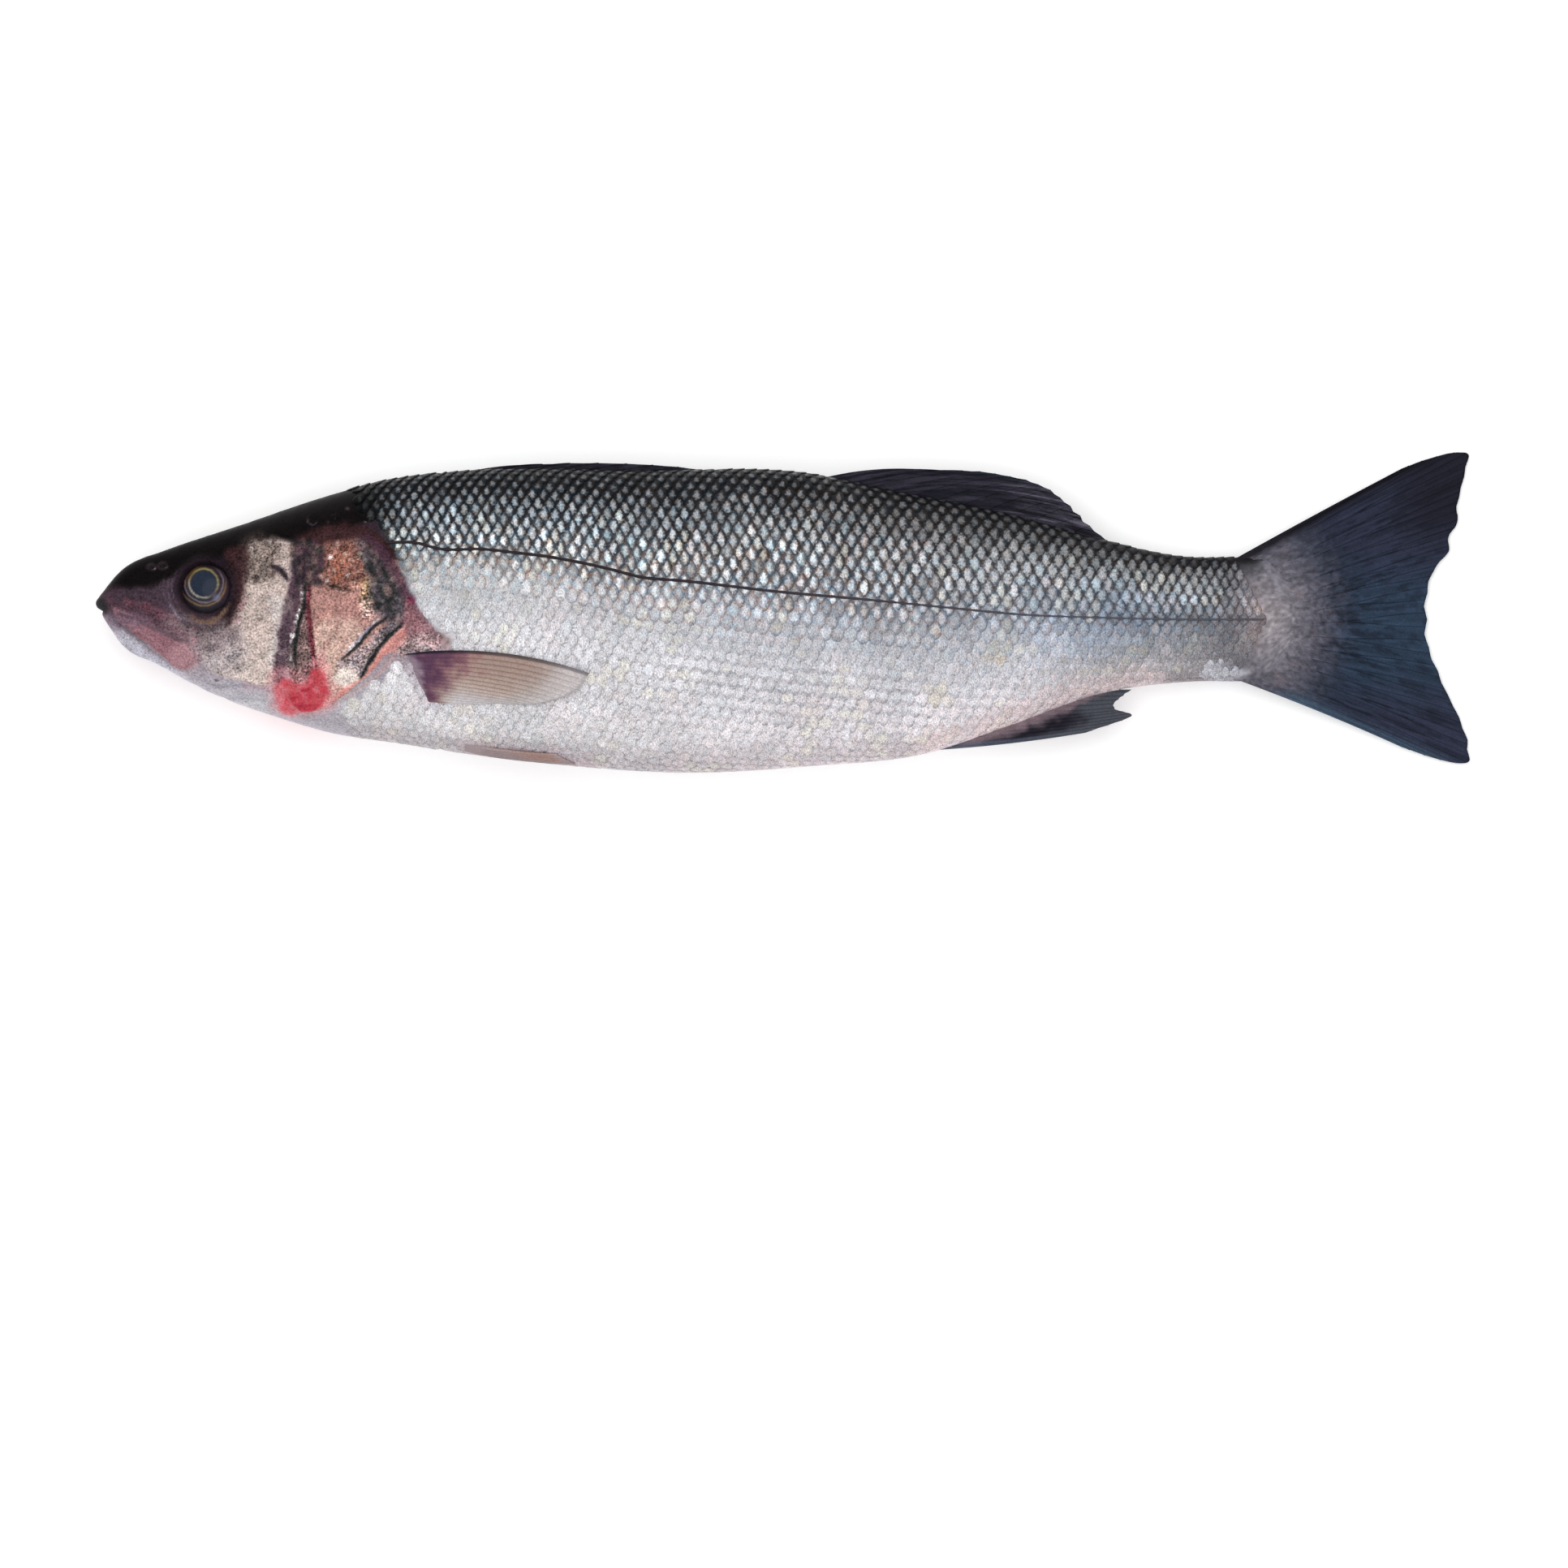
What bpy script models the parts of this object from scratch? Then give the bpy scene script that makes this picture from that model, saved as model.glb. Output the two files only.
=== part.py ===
"""A whole raw sea bass that lies on its right side, with its left side up.

Metres, +Z up. The head points to -X and the back to +Y. The origin is the bottom centre of the fish's box.
The fish is one solid, because its skin runs unbroken over the head and every fin. The eyes sit in sockets.
"""

import math
import random
from dataclasses import dataclass

import bmesh
import bpy
import numpy as np
from mathutils import Matrix, Vector

MM = 0.001

# Driving sizes, in millimetres, seen from the side and measured from the middle of the fish's box.
SNOUT_X = -200.0
TRUNK_END_X = 151.0
SNOUT_ROUND = 8.0
TRUNK_END_ROUND = 13.0
SECTION_POWER = 2.15
WIDEST_SHARE = 0.52

# Each line is a smooth curve through a few landmarks from snout to tail, as (x, value).
BACK_LINE = (
    (-200.0, 5.6), (-190.0, 13.9), (-180.0, 17.8), (-157.0, 25.5), (-133.0, 33.6), (-120.0, 37.2),
    (-95.0, 40.8), (-72.0, 41.6), (-45.0, 41.0), (8.0, 40.1), (33.0, 34.9), (66.0, 28.2), (93.0, 20.9),
    (117.0, 15.9), (138.0, 16.0), (151.0, 15.4),
)
BELLY_LINE = (
    (-200.0, -0.9), (-190.0, -11.6), (-183.0, -14.8), (-169.0, -22.5), (-145.0, -31.4), (-133.0, -34.9),
    (-110.0, -38.5), (-95.0, -41.0), (-62.0, -44.9), (-28.0, -46.9), (8.0, -45.0), (42.0, -41.2),
    (66.0, -33.2), (92.0, -24.0), (118.0, -20.4), (138.0, -20.2), (151.0, -19.0),
)
HALF_WIDTH = (
    (-200.0, 5.2), (-182.0, 8.8), (-166.0, 12.6), (-148.0, 17.0), (-128.0, 20.6), (-105.0, 23.2),
    (-65.0, 24.8), (-25.0, 24.6), (15.0, 22.0), (55.0, 17.0), (93.0, 11.6), (118.0, 8.2), (135.0, 5.4),
    (151.0, 2.8),
)
# The height of the fish's middle plane: the belly rests, and the limp tail hangs down to the surface.
MIDDLE_HEIGHT = (
    (-200.0, 20.4), (-150.0, 21.6), (-105.0, 22.7), (-65.0, 23.6), (-25.0, 23.4), (15.0, 21.6),
    (55.0, 18.0), (93.0, 13.6), (118.0, 10.4), (135.0, 8.0), (150.0, 5.6), (165.0, 3.5), (180.0, 1.8),
    (200.0, 0.45),
)

# The raised plates of the head, as closed outlines seen from the side.
CHEEK_OUTLINE = (
    (-155.0, 19.2), (-142.4, 19.8), (-142.2, 6.0), (-145.0, -11.0), (-147.5, -20.3), (-158.0, -20.2),
    (-168.5, -15.0), (-169.0, -7.0), (-160.4, -1.5), (-157.4, 8.0),
)
GILL_COVER_OUTLINE = (
    (-138.4, 19.6), (-127.0, 23.0), (-115.0, 18.0), (-109.2, 6.0), (-108.2, -2.0), (-117.0, -13.5),
    (-127.0, -23.5), (-138.0, -29.0), (-143.5, -26.0), (-141.5, -12.0), (-139.4, 4.0),
)
JAW_OUTLINE = (
    (-195.0, 1.6), (-187.5, -0.8), (-179.0, -7.0), (-171.0, -9.2), (-170.8, -13.6), (-175.0, -16.4),
    (-183.0, -11.6), (-192.0, -4.0),
)
MOUTH_LINE = (
    (-203.0, 1.4), (-197.2, -0.7), (-192.4, -4.4), (-185.4, -10.6), (-179.5, -15.2), (-176.6, -17.0),
)
MOUTH_GAP = 0.5
MOUTH_CUT_HEIGHTS = (-5.0, 50.0)
PLATE_BED = 2.5
CHEEK_LIFT = 0.5
GILL_COVER_LIFT = 1.1
JAW_LIFT = 0.7


@dataclass(frozen=True)
class Fin:
    """A fin in millimetres: the line that it grows from, the line of its ray tips, and its thickness."""

    root: tuple
    tip: tuple
    rays: int
    rows: int
    root_half_thickness: float
    tip_half_thickness: float
    ray_rise: float
    bows: tuple = (0.0, 0.0)
    ragged: float = 0.0


MIDDLE_FINS = {
    "tail_fin": Fin(
        root=((131.0, 15.2), (139.0, 9.0), (142.5, -2.0), (139.0, -12.0), (131.0, -19.4)),
        tip=(
            (180.0, 41.9), (192.0, 46.1), (199.9, 46.6), (199.6, 40.5), (198.4, 31.1), (194.6, 22.8),
            (191.2, 14.6), (188.8, 8.0), (187.8, -3.0), (189.2, -12.0), (191.6, -19.2), (195.2, -26.0),
            (198.8, -35.5), (200.4, -43.6), (192.2, -43.4), (180.0, -39.4),
        ),
        rays=19, rows=8, root_half_thickness=1.7, tip_half_thickness=0.35, ray_rise=0.3, bows=(0.2, 0.5),
        ragged=0.6,
    ),
    "second_dorsal_fin": Fin(
        root=((8.0, 38.0), (30.0, 33.4), (66.0, 26.2), (91.0, 19.6)),
        tip=(
            (44.0, 41.1), (56.9, 40.9), (65.4, 39.6), (73.4, 37.6), (79.0, 34.8), (83.6, 31.0),
            (88.4, 26.0), (94.0, 20.8),
        ),
        rays=13, rows=6, root_half_thickness=1.1, tip_half_thickness=0.35, ray_rise=0.25, bows=(1.8, 0.0),
        ragged=0.4,
    ),
    "first_dorsal_fin": Fin(
        root=((-96.0, 39.6), (-60.0, 39.6), (-24.0, 38.8)),
        tip=((-74.0, 42.8), (-60.0, 43.3), (-45.0, 43.1), (-33.0, 42.4), (-22.0, 41.2), (-14.0, 40.2)),
        rays=8, rows=4, root_half_thickness=1.3, tip_half_thickness=0.7, ray_rise=0.25, bows=(0.8, 0.0),
        ragged=0.3,
    ),
    "anal_fin": Fin(
        root=((37.0, -40.6), (60.0, -34.0), (78.0, -27.6), (93.0, -22.6)),
        tip=(
            (88.0, -35.2), (101.6, -30.0), (98.6, -28.9), (96.6, -28.2), (96.4, -26.8), (98.2, -25.0),
            (101.4, -22.6),
        ),
        rays=12, rows=6, root_half_thickness=1.1, tip_half_thickness=0.35, ray_rise=0.25, bows=(-0.8, 0.0),
        ragged=0.2,
    ),
}
PECTORAL_FIN = Fin(
    root=((-109.4, -12.6), (-106.2, -19.0), (-103.0, -25.4)),
    tip=((-56.4, -17.6), (-58.4, -21.0), (-63.0, -24.0), (-69.0, -25.8), (-76.0, -26.6), (-84.0, -26.6)),
    rays=9, rows=6, root_half_thickness=0.7, tip_half_thickness=0.3, ray_rise=0.12, bows=(3.6, -0.6),
    ragged=0.4,
)
# The pelvic fin is folded along the belly, so its points are (x, degrees below the widest level).
PELVIC_FIN = Fin(
    root=((-94.5, 79.0), (-94.0, 68.0)),
    tip=((-60.5, 78.0), (-66.0, 67.0)),
    rays=5, rows=6, root_half_thickness=0.8, tip_half_thickness=0.35, ray_rise=0.12,
)
# How far the folded side fins stand off the skin along their length, from bedded roots to loose tips.
PECTORAL_LIFT = (-0.9, 0.7, 1.6, 1.8, 1.7, 1.5)
PELVIC_LIFT = (-0.9, 0.5, 1.0, 1.2, 1.2, 1.1)
PRESSED_FIN = 0.8
LOW_EDGE = 0.15

# The eyes.
EYE_X, EYE_Y = -168.3, 7.0
EYE_RADIUS = 7.4
EYE_HALF_DEPTH = 4.6
EYE_STANDS_OUT = 1.5
GAP = 0.3

HEAD_END_X = -102.0
HEAD_RING_STEP = 3.8
TRUNK_RING_STEP = 9.0
END_RINGS = 5
POINTS_ROUND = 36
PLATE_POINTS = 32
SHARP_ANGLE = math.radians(35)
SIDES = {"left": 1, "right": -1}
SEED = 7


def smooth_curve(points, at):
    """The value at each x of a smooth curve through (x, value) points."""
    known = np.array(points, float)
    x, y = known[:, 0], known[:, 1]
    slope = np.gradient(y, x)
    at = np.clip(np.asarray(at, float), x[0], x[-1])
    span = np.clip(np.searchsorted(x, at) - 1, 0, len(x) - 2)
    width = x[span + 1] - x[span]
    t = (at - x[span]) / width
    rise = t * t * (3 - 2 * t)
    bend_in = t * (1 - t) ** 2 * width
    bend_out = t * t * (t - 1) * width
    return y[span] * (1 - rise) + y[span + 1] * rise + slope[span] * bend_in + slope[span + 1] * bend_out


def smooth_path(points, count, closed=False):
    """Evenly counted points along a smooth path through the given 2-D points."""
    known = np.array(points, float)
    if closed:
        known = np.vstack([known[-2:], known, known[:3]])
    step = np.linalg.norm(np.diff(known, axis=0), axis=1) ** 0.5
    along = np.concatenate([[0], np.cumsum(step)])
    start, end = (along[2], along[-3]) if closed else (along[0], along[-1])
    at = np.linspace(start, end, count, endpoint=not closed)
    axes = [smooth_curve(np.column_stack([along, known[:, axis]]), at) for axis in (0, 1)]
    return np.column_stack(axes)


def section(x):
    """Back, belly, half width and middle height of the body at each x."""
    x = np.asarray(x, float)
    nose = np.clip((x - SNOUT_X) / SNOUT_ROUND, 0, 1)
    stump = np.clip((TRUNK_END_X - x) / TRUNK_END_ROUND, 0, 1)
    round_off = np.sqrt(nose * (2 - nose) * stump * (2 - stump))
    back, belly = smooth_curve(BACK_LINE, x), smooth_curve(BELLY_LINE, x)
    level = belly + WIDEST_SHARE * (back - belly)
    back = level + (back - level) * round_off
    belly = level + (belly - level) * round_off
    return back, belly, smooth_curve(HALF_WIDTH, x) * round_off, smooth_curve(MIDDLE_HEIGHT, x)


def skin_point(x, angle):
    """The body's surface at x and at an angle from the left flank, up towards the back."""
    back, belly, half_width, middle = section(x)
    level = belly + WIDEST_SHARE * (back - belly)
    rise, reach = np.sin(angle), np.cos(angle)
    rise = np.sign(rise) * np.abs(rise) ** (2 / SECTION_POWER)
    reach = np.sign(reach) * np.abs(reach) ** (2 / SECTION_POWER)
    y = level + np.where(rise > 0, back - level, level - belly) * rise
    z = middle + half_width * reach
    return np.stack(np.broadcast_arrays(x, y, z), axis=-1)


def skin_normal(x, angle):
    """The outward direction of the body's surface there."""
    small_x, small_angle = 0.5, 0.02
    along = skin_point(x + small_x, angle) - skin_point(x - small_x, angle)
    around = skin_point(x, angle + small_angle) - skin_point(x, angle - small_angle)
    normal = np.cross(along, around)
    return normal / np.linalg.norm(normal, axis=-1, keepdims=True)


def flank_angle(x, y):
    """The angle at which the left flank stands at height y on its back-to-belly line."""
    back, belly, _, _ = section(x)
    level = belly + WIDEST_SHARE * (back - belly)
    share = (y - level) / np.where(y > level, back - level, level - belly)
    share = np.clip(share, -0.97, 0.97)
    return np.arcsin(np.sign(share) * np.abs(share) ** (SECTION_POWER / 2))


def on_side(angle, side):
    """The same angle on the left (1) or the right (-1) side."""
    return angle if side > 0 else math.pi - angle


def link_object(name, shell, material):
    """A mesh object in the scene, made from a bmesh."""
    mesh = bpy.data.meshes.new(name)
    shell.to_mesh(mesh)
    shell.free()
    mesh.materials.append(material)
    obj = bpy.data.objects.new(name, mesh)
    bpy.context.scene.collection.objects.link(obj)
    return obj


def new_object(name, points, faces, material):
    """A mesh object from points in millimetres, with its faces turned outwards."""
    points = np.array(points, float) * MM
    shell = bmesh.new()
    corners = [shell.verts.new(point) for point in points.tolist()]
    for face in faces:
        shell.faces.new([corners[index] for index in face])
    bmesh.ops.recalc_face_normals(shell, faces=shell.faces)
    return link_object(name, shell, material)


def finish_material(name, colour, roughness):
    """A plain material with the part's colour."""
    material = bpy.data.materials.new(name)
    material.use_nodes = True
    shader = material.node_tree.nodes["Principled BSDF"]
    shader.inputs["Base Color"].default_value = (*colour, 1.0)
    shader.inputs["Roughness"].default_value = roughness
    return material


def ring_faces(rings, around):
    """Quads between neighbouring rings of points."""
    faces = []
    for ring in range(rings - 1):
        for i in range(around):
            j = (i + 1) % around
            a, b = ring * around, (ring + 1) * around
            faces.append((a + i, a + j, b + j, b + i))
    return faces


def make_body(material):
    """The trunk and head: rings along the fish, flattened where the flank rests."""
    round_step = 1 - np.cos(np.linspace(0, math.pi / 2, END_RINGS + 1))[1:]
    snout = SNOUT_X + SNOUT_ROUND * round_step
    stump = (TRUNK_END_X - TRUNK_END_ROUND * round_step)[::-1]
    head = np.arange(snout[-1] + HEAD_RING_STEP, HEAD_END_X, HEAD_RING_STEP)
    trunk_rings = round((stump[0] - HEAD_END_X) / TRUNK_RING_STEP)
    trunk = np.linspace(HEAD_END_X, stump[0], trunk_rings, endpoint=False)
    places = np.concatenate([snout, head, trunk, stump])
    angles = np.arange(POINTS_ROUND) * 2 * math.pi / POINTS_ROUND
    points = skin_point(places[:, None], angles[None, :]).reshape(-1, 3)
    points[:, 2] = np.maximum(points[:, 2], 0)
    tips = skin_point(np.array([SNOUT_X, TRUNK_END_X]), np.array(0.0))
    faces = ring_faces(len(places), POINTS_ROUND)
    last = (len(places) - 1) * POINTS_ROUND
    for i in range(POINTS_ROUND):
        j = (i + 1) % POINTS_ROUND
        faces += [(len(points), i, j), (len(points) + 1, last + j, last + i)]
    return new_object("fish", np.vstack([points, tips]), faces, material)


def make_plate(name, outline, lift, side, material):
    """A low raised plate of the head, bedded in the flank, that stands out by lift all over."""
    around, rings = PLATE_POINTS, (1.0, 0.66, 0.33)
    edge = smooth_path(outline, around, closed=True)
    centre = edge.mean(axis=0)
    flat = np.vstack([centre + (edge - centre) * share for share in rings] + [centre])
    angle = on_side(flank_angle(flat[:, 0], flat[:, 1]), side)
    skin, normal = skin_point(flat[:, 0], angle), skin_normal(flat[:, 0], angle)
    count = len(flat)
    top, bottom = skin + normal * lift, skin - normal * PLATE_BED
    top[:, 2] = np.maximum(top[:, 2], LOW_EDGE)
    faces = []
    for start in (0, count):
        faces += [tuple(start + i for i in face) for face in ring_faces(len(rings), around)]
        last = start + (len(rings) - 1) * around
        faces += [(start + count - 1, last + i, last + (i + 1) % around) for i in range(around)]
    faces += [(i, (i + 1) % around, count + (i + 1) % around, count + i) for i in range(around)]
    return new_object(name, np.vstack([top, bottom]), faces, material)


def fin_sheet(fin):
    """Points on a fin's sheet, by ray and along it. Odd columns are rays, even ones the skin between."""
    draw = random.Random(SEED)
    columns = 2 * fin.rays + 1
    start, end = smooth_path(fin.root, columns), smooth_path(fin.tip, columns)
    reach = end - start
    length = np.linalg.norm(reach, axis=1)[:, None]
    inset = [draw.uniform(0, fin.ragged) + (0 if column % 2 else fin.ragged) for column in range(columns)]
    inset[0] = inset[-1] = 0
    reach = reach * (1 - np.array(inset)[:, None] / length)
    across = np.column_stack([-reach[:, 1], reach[:, 0]]) / length
    bow = across * np.linspace(*fin.bows, columns)[:, None]
    along = np.linspace(0, 1, fin.rows)[None, :, None]
    return start[:, None] + reach[:, None] * along + bow[:, None] * 4 * along * (1 - along)


def fin_half_thickness(fin):
    """Half the fin's thickness at each of its points: it thins to the tips and stands out along the rays."""
    along = np.linspace(0, 1, fin.rows)[None, :]
    on_ray = (np.arange(2 * fin.rays + 1) % 2)[:, None]
    thinning = fin.tip_half_thickness - fin.root_half_thickness
    return fin.root_half_thickness + thinning * along + fin.ray_rise * on_ray * (1 - 0.6 * along)


def make_blade(name, upper, lower, material):
    """A closed thin solid between two sheets of points with the same rows and columns."""
    columns, rows = upper.shape[:2]
    count = columns * rows
    faces = []
    for column in range(columns - 1):
        for row in range(rows - 1):
            a, b = column * rows + row, (column + 1) * rows + row
            faces.append((a, b, b + 1, a + 1))
            faces.append((count + a, count + a + 1, count + b + 1, count + b))
    first_column = list(range(rows))
    last_column = list(range((columns - 1) * rows, count))
    rim = (
        [(i, i + 1) for i in first_column[:-1]]
        + [(i + 1, i) for i in last_column[:-1]]
        + [((column + 1) * rows, column * rows) for column in range(columns - 1)]
        + [(column * rows + rows - 1, (column + 1) * rows + rows - 1) for column in range(columns - 1)]
    )
    faces += [(i, j, count + j, count + i) for i, j in rim]
    points = np.vstack([upper.reshape(-1, 3), lower.reshape(-1, 3)])
    return new_object(name, points, faces, material)


def make_middle_fin(name, fin, material):
    """A fin in the fish's middle plane, such as the tail, which hangs with it down to the surface."""
    sheet, half = fin_sheet(fin), fin_half_thickness(fin)
    lower = np.maximum(smooth_curve(MIDDLE_HEIGHT, sheet[..., 0]) - half, 0)
    return make_blade(name, np.dstack([sheet, lower + 2 * half]), np.dstack([sheet, lower]), material)


def make_side_fin(name, fin, sheet, lift, side, material):
    """A fin that lies over the body's side. Sheet holds (x, angle) for each of its points."""
    x, angle = sheet[..., 0], on_side(sheet[..., 1], side)
    half = fin_half_thickness(fin)[..., None]
    skin, normal = skin_point(x, angle), skin_normal(x, angle)
    middle = skin + normal * np.asarray(lift)[None, :, None]
    outer, inner = middle + normal * half, middle - normal * half
    outer[..., 2] = np.maximum(outer[..., 2], LOW_EDGE)
    inner[..., 2] = np.maximum(inner[..., 2], LOW_EDGE + (PRESSED_FIN if side < 0 else 0))
    return make_blade(name, outer, inner, material)


def pectoral_sheet():
    """The pectoral fin's points over the flank, as x and angle."""
    sheet = fin_sheet(PECTORAL_FIN)
    return np.dstack([sheet[..., 0], flank_angle(sheet[..., 0], sheet[..., 1])])


def pelvic_sheet():
    """The pelvic fin's points along the belly, as x and angle."""
    sheet = fin_sheet(PELVIC_FIN)
    return np.dstack([sheet[..., 0], -np.radians(sheet[..., 1])])


def eye_shape(name, side, grow, material):
    """A flattened ball in the side of the head, larger all round by grow."""
    angle = on_side(flank_angle(np.array(EYE_X), np.array(EYE_Y)), side)
    skin = Vector(skin_point(np.array(EYE_X), angle))
    normal = Vector(skin_normal(np.array(EYE_X), angle))
    centre = skin - normal * (EYE_HALF_DEPTH - EYE_STANDS_OUT)
    ball = bmesh.new()
    bmesh.ops.create_uvsphere(ball, u_segments=24, v_segments=12, radius=1.0)
    radius, depth = EYE_RADIUS + grow, EYE_HALF_DEPTH + grow
    bmesh.ops.scale(ball, vec=Vector((radius, radius, depth)) * MM, verts=ball.verts)
    turn = normal.to_track_quat("Z", "Y").to_matrix().to_4x4()
    bmesh.ops.transform(ball, matrix=Matrix.Translation(centre * MM) @ turn, verts=ball.verts)
    return link_object(name, ball, material)


def make_mouth_cutter(material):
    """The slit between the jaws: a thin curved wall that runs through the snout from side to side."""
    lips = smooth_path(MOUTH_LINE, 9)
    count = len(lips)
    low, high = MOUTH_CUT_HEIGHTS
    wall = [(x, y + MOUTH_GAP * side / 2, z) for z in (low, high) for side in (-1, 1) for x, y in lips]
    around = [corner * count for corner in (0, 1, 3, 2)]
    faces = [
        (a + i, a + i + 1, b + i + 1, b + i)
        for a, b in zip(around, around[1:] + around[:1])
        for i in range(count - 1)
    ]
    faces += [tuple(around), tuple(a + count - 1 for a in around)]
    return new_object("mouth", wall, faces, material)


def join_and_cut(body, joined, cutters):
    """Joins the pieces to the body in one union, cuts the sockets and the mouth, and removes the rest."""
    for operation, pieces in (("UNION", joined), ("DIFFERENCE", cutters)):
        group = bpy.data.collections.new(operation.lower())
        for piece in pieces:
            group.objects.link(piece)
            bpy.context.scene.collection.objects.unlink(piece)
        bpy.context.scene.collection.children.link(group)
        boolean = body.modifiers.new(operation.title(), "BOOLEAN")
        boolean.operation = operation
        boolean.operand_type = "COLLECTION"
        boolean.collection = group
        bpy.context.view_layer.objects.active = body
        bpy.ops.object.modifier_apply(modifier=boolean.name)
        for piece in list(group.objects):
            bpy.data.objects.remove(piece)
        bpy.data.collections.remove(group)


def make_head_plates(word, side, material):
    """The cheek, gill cover and upper jaw of one side."""
    return [
        make_plate(f"cheek_{word}", CHEEK_OUTLINE, CHEEK_LIFT, side, material),
        make_plate(f"gill_cover_{word}", GILL_COVER_OUTLINE, GILL_COVER_LIFT, side, material),
        make_plate(f"upper_jaw_{word}", JAW_OUTLINE, JAW_LIFT, side, material),
    ]


def make_side_fins(word, side, material):
    """The pectoral and pelvic fins of one side."""
    return [
        make_side_fin(f"pectoral_fin_{word}", PECTORAL_FIN, pectoral_sheet(), PECTORAL_LIFT, side, material),
        make_side_fin(f"pelvic_fin_{word}", PELVIC_FIN, pelvic_sheet(), PELVIC_LIFT, side, material),
    ]


def main():
    for obj in list(bpy.data.objects):
        bpy.data.objects.remove(obj)
    skin = finish_material("fish_skin", (0.33, 0.35, 0.38), 0.35)
    dark = finish_material("dark_fin", (0.03, 0.035, 0.05), 0.5)
    pale = finish_material("pale_fin", (0.42, 0.33, 0.27), 0.45)
    eye = finish_material("eye", (0.05, 0.06, 0.09), 0.1)
    body = make_body(skin)
    joined = [make_middle_fin(name, fin, dark) for name, fin in MIDDLE_FINS.items()]
    cutters = [make_mouth_cutter(skin)]
    for word, side in SIDES.items():
        joined += make_head_plates(word, side, skin) + make_side_fins(word, side, pale)
        cutters.append(eye_shape(f"socket_{word}", side, GAP, skin))
    join_and_cut(body, joined, cutters)
    for word, side in SIDES.items():
        eye_shape(f"eye_{word}", side, 0.0, eye)
    for obj in bpy.context.scene.objects:
        obj.data.shade_smooth()
        obj.data.set_sharp_from_angle(angle=SHARP_ANGLE)


main()
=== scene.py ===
"""A whole raw sea bass lying on its right side, head to the left, seen from straight above.

Shapes are worked out in millimetres, X from head to tail, Y towards the back and Z up, and turned into metres
only where a mesh is made. Paint is named tones blended over named outlines.
"""

import logging
import math
import random
from dataclasses import dataclass, replace
from enum import Enum
from typing import Callable, Sequence

import bpy
import numpy as np
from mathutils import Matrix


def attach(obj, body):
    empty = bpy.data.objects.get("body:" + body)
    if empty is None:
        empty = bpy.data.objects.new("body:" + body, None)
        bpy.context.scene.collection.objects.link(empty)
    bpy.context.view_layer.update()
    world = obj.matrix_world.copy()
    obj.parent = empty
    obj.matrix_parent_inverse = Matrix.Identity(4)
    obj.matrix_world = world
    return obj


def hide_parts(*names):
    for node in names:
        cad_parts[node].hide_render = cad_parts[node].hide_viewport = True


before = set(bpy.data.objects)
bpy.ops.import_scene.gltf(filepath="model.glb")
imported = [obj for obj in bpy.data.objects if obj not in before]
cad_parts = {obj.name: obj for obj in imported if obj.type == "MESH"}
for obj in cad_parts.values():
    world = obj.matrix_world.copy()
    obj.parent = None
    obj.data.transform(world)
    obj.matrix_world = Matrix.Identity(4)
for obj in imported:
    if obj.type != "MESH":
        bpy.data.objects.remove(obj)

LOG = logging.getLogger("sea_bass")
Points = Sequence[tuple[float, float]]
Array = np.ndarray
Item = bpy.types.Object
Socket = bpy.types.NodeSocket

MM = 0.001
SEED = 7
SKY_LIGHT = 0.62  # share of its paint's brightness that every surface gets
LAMP_LIGHT = 0.48  # what a surface facing up gets besides
PICTURE_WIDTH = 1932  # of the whole picture and of the fish in it, in the picture's own dots
FISH_WIDTH = 1694
FISH_LENGTH = 400.0

SNOUT_X = -200.0
TRUNK_END_X = 151.0
SNOUT_ROUND = 8.0
TRUNK_END_ROUND = 13.0
SECTION_POWER = 2.15
WIDEST_SHARE = 0.52
SCALE_ROOM = 0.5

BACK_LINE = (
    (-200, 5.6), (-190, 13.9), (-180, 17.8), (-157, 25.5), (-133, 33.6), (-120, 37.2), (-95, 40.8),
    (-72, 41.6), (-45, 41), (8, 40.1), (33, 34.9), (66, 28.2), (93, 20.9), (117, 15.9), (138, 16),
    (151, 15.4),
)
BELLY_LINE = (
    (-200, -0.9), (-190, -11.6), (-183, -14.8), (-169, -22.5), (-145, -31.4), (-133, -34.9), (-110, -38.5),
    (-95, -41), (-62, -44.9), (-28, -46.9), (8, -45), (42, -41.2), (66, -33.2), (92, -24), (118, -20.4),
    (138, -20.2), (151, -19),
)
HALF_WIDTH = (
    (-200, 5.2), (-182, 8.8), (-166, 12.6), (-148, 17), (-128, 20.6), (-105, 23.2), (-65, 24.8), (-25, 24.6),
    (15, 22), (55, 17), (93, 11.6), (118, 8.2), (135, 5), (144, 2.9), (151, 1.7),
)
MIDDLE_HEIGHT = (
    (-200, 20.4), (-150, 21.6), (-105, 22.7), (-65, 23.6), (-25, 23.4), (15, 21.6), (55, 18), (93, 13.6),
    (118, 10.4), (135, 8), (150, 5.6), (165, 3.5), (180, 1.8), (200, 0.45),
)

CHEEK = (
    (-155, 19.2), (-142.4, 19.8), (-142.2, 6), (-145, -11), (-147.5, -20.3), (-158, -20.2), (-168.5, -15),
    (-169, -7), (-160.4, -1.5), (-157.4, 8),
)
GILL_COVER = (
    (-138.4, 19.6), (-127, 23), (-115, 18), (-109.2, 6), (-108.2, -2), (-117, -13.5), (-127, -23.5),
    (-138, -29), (-143.5, -26), (-141.5, -12), (-139.4, 4),
)
MAXILLA = (
    (-195, 1.2), (-187.5, -1.6), (-179, -6.6), (-171.2, -8.6), (-169.8, -12.6), (-174.6, -16.8),
    (-183, -10.6), (-192, -4),
)
MOUTH_LINE = ((-203, 1.4), (-197.2, -0.7), (-192.4, -4.4), (-185.4, -10.6), (-179.5, -15.2), (-176.6, -17))

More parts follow.
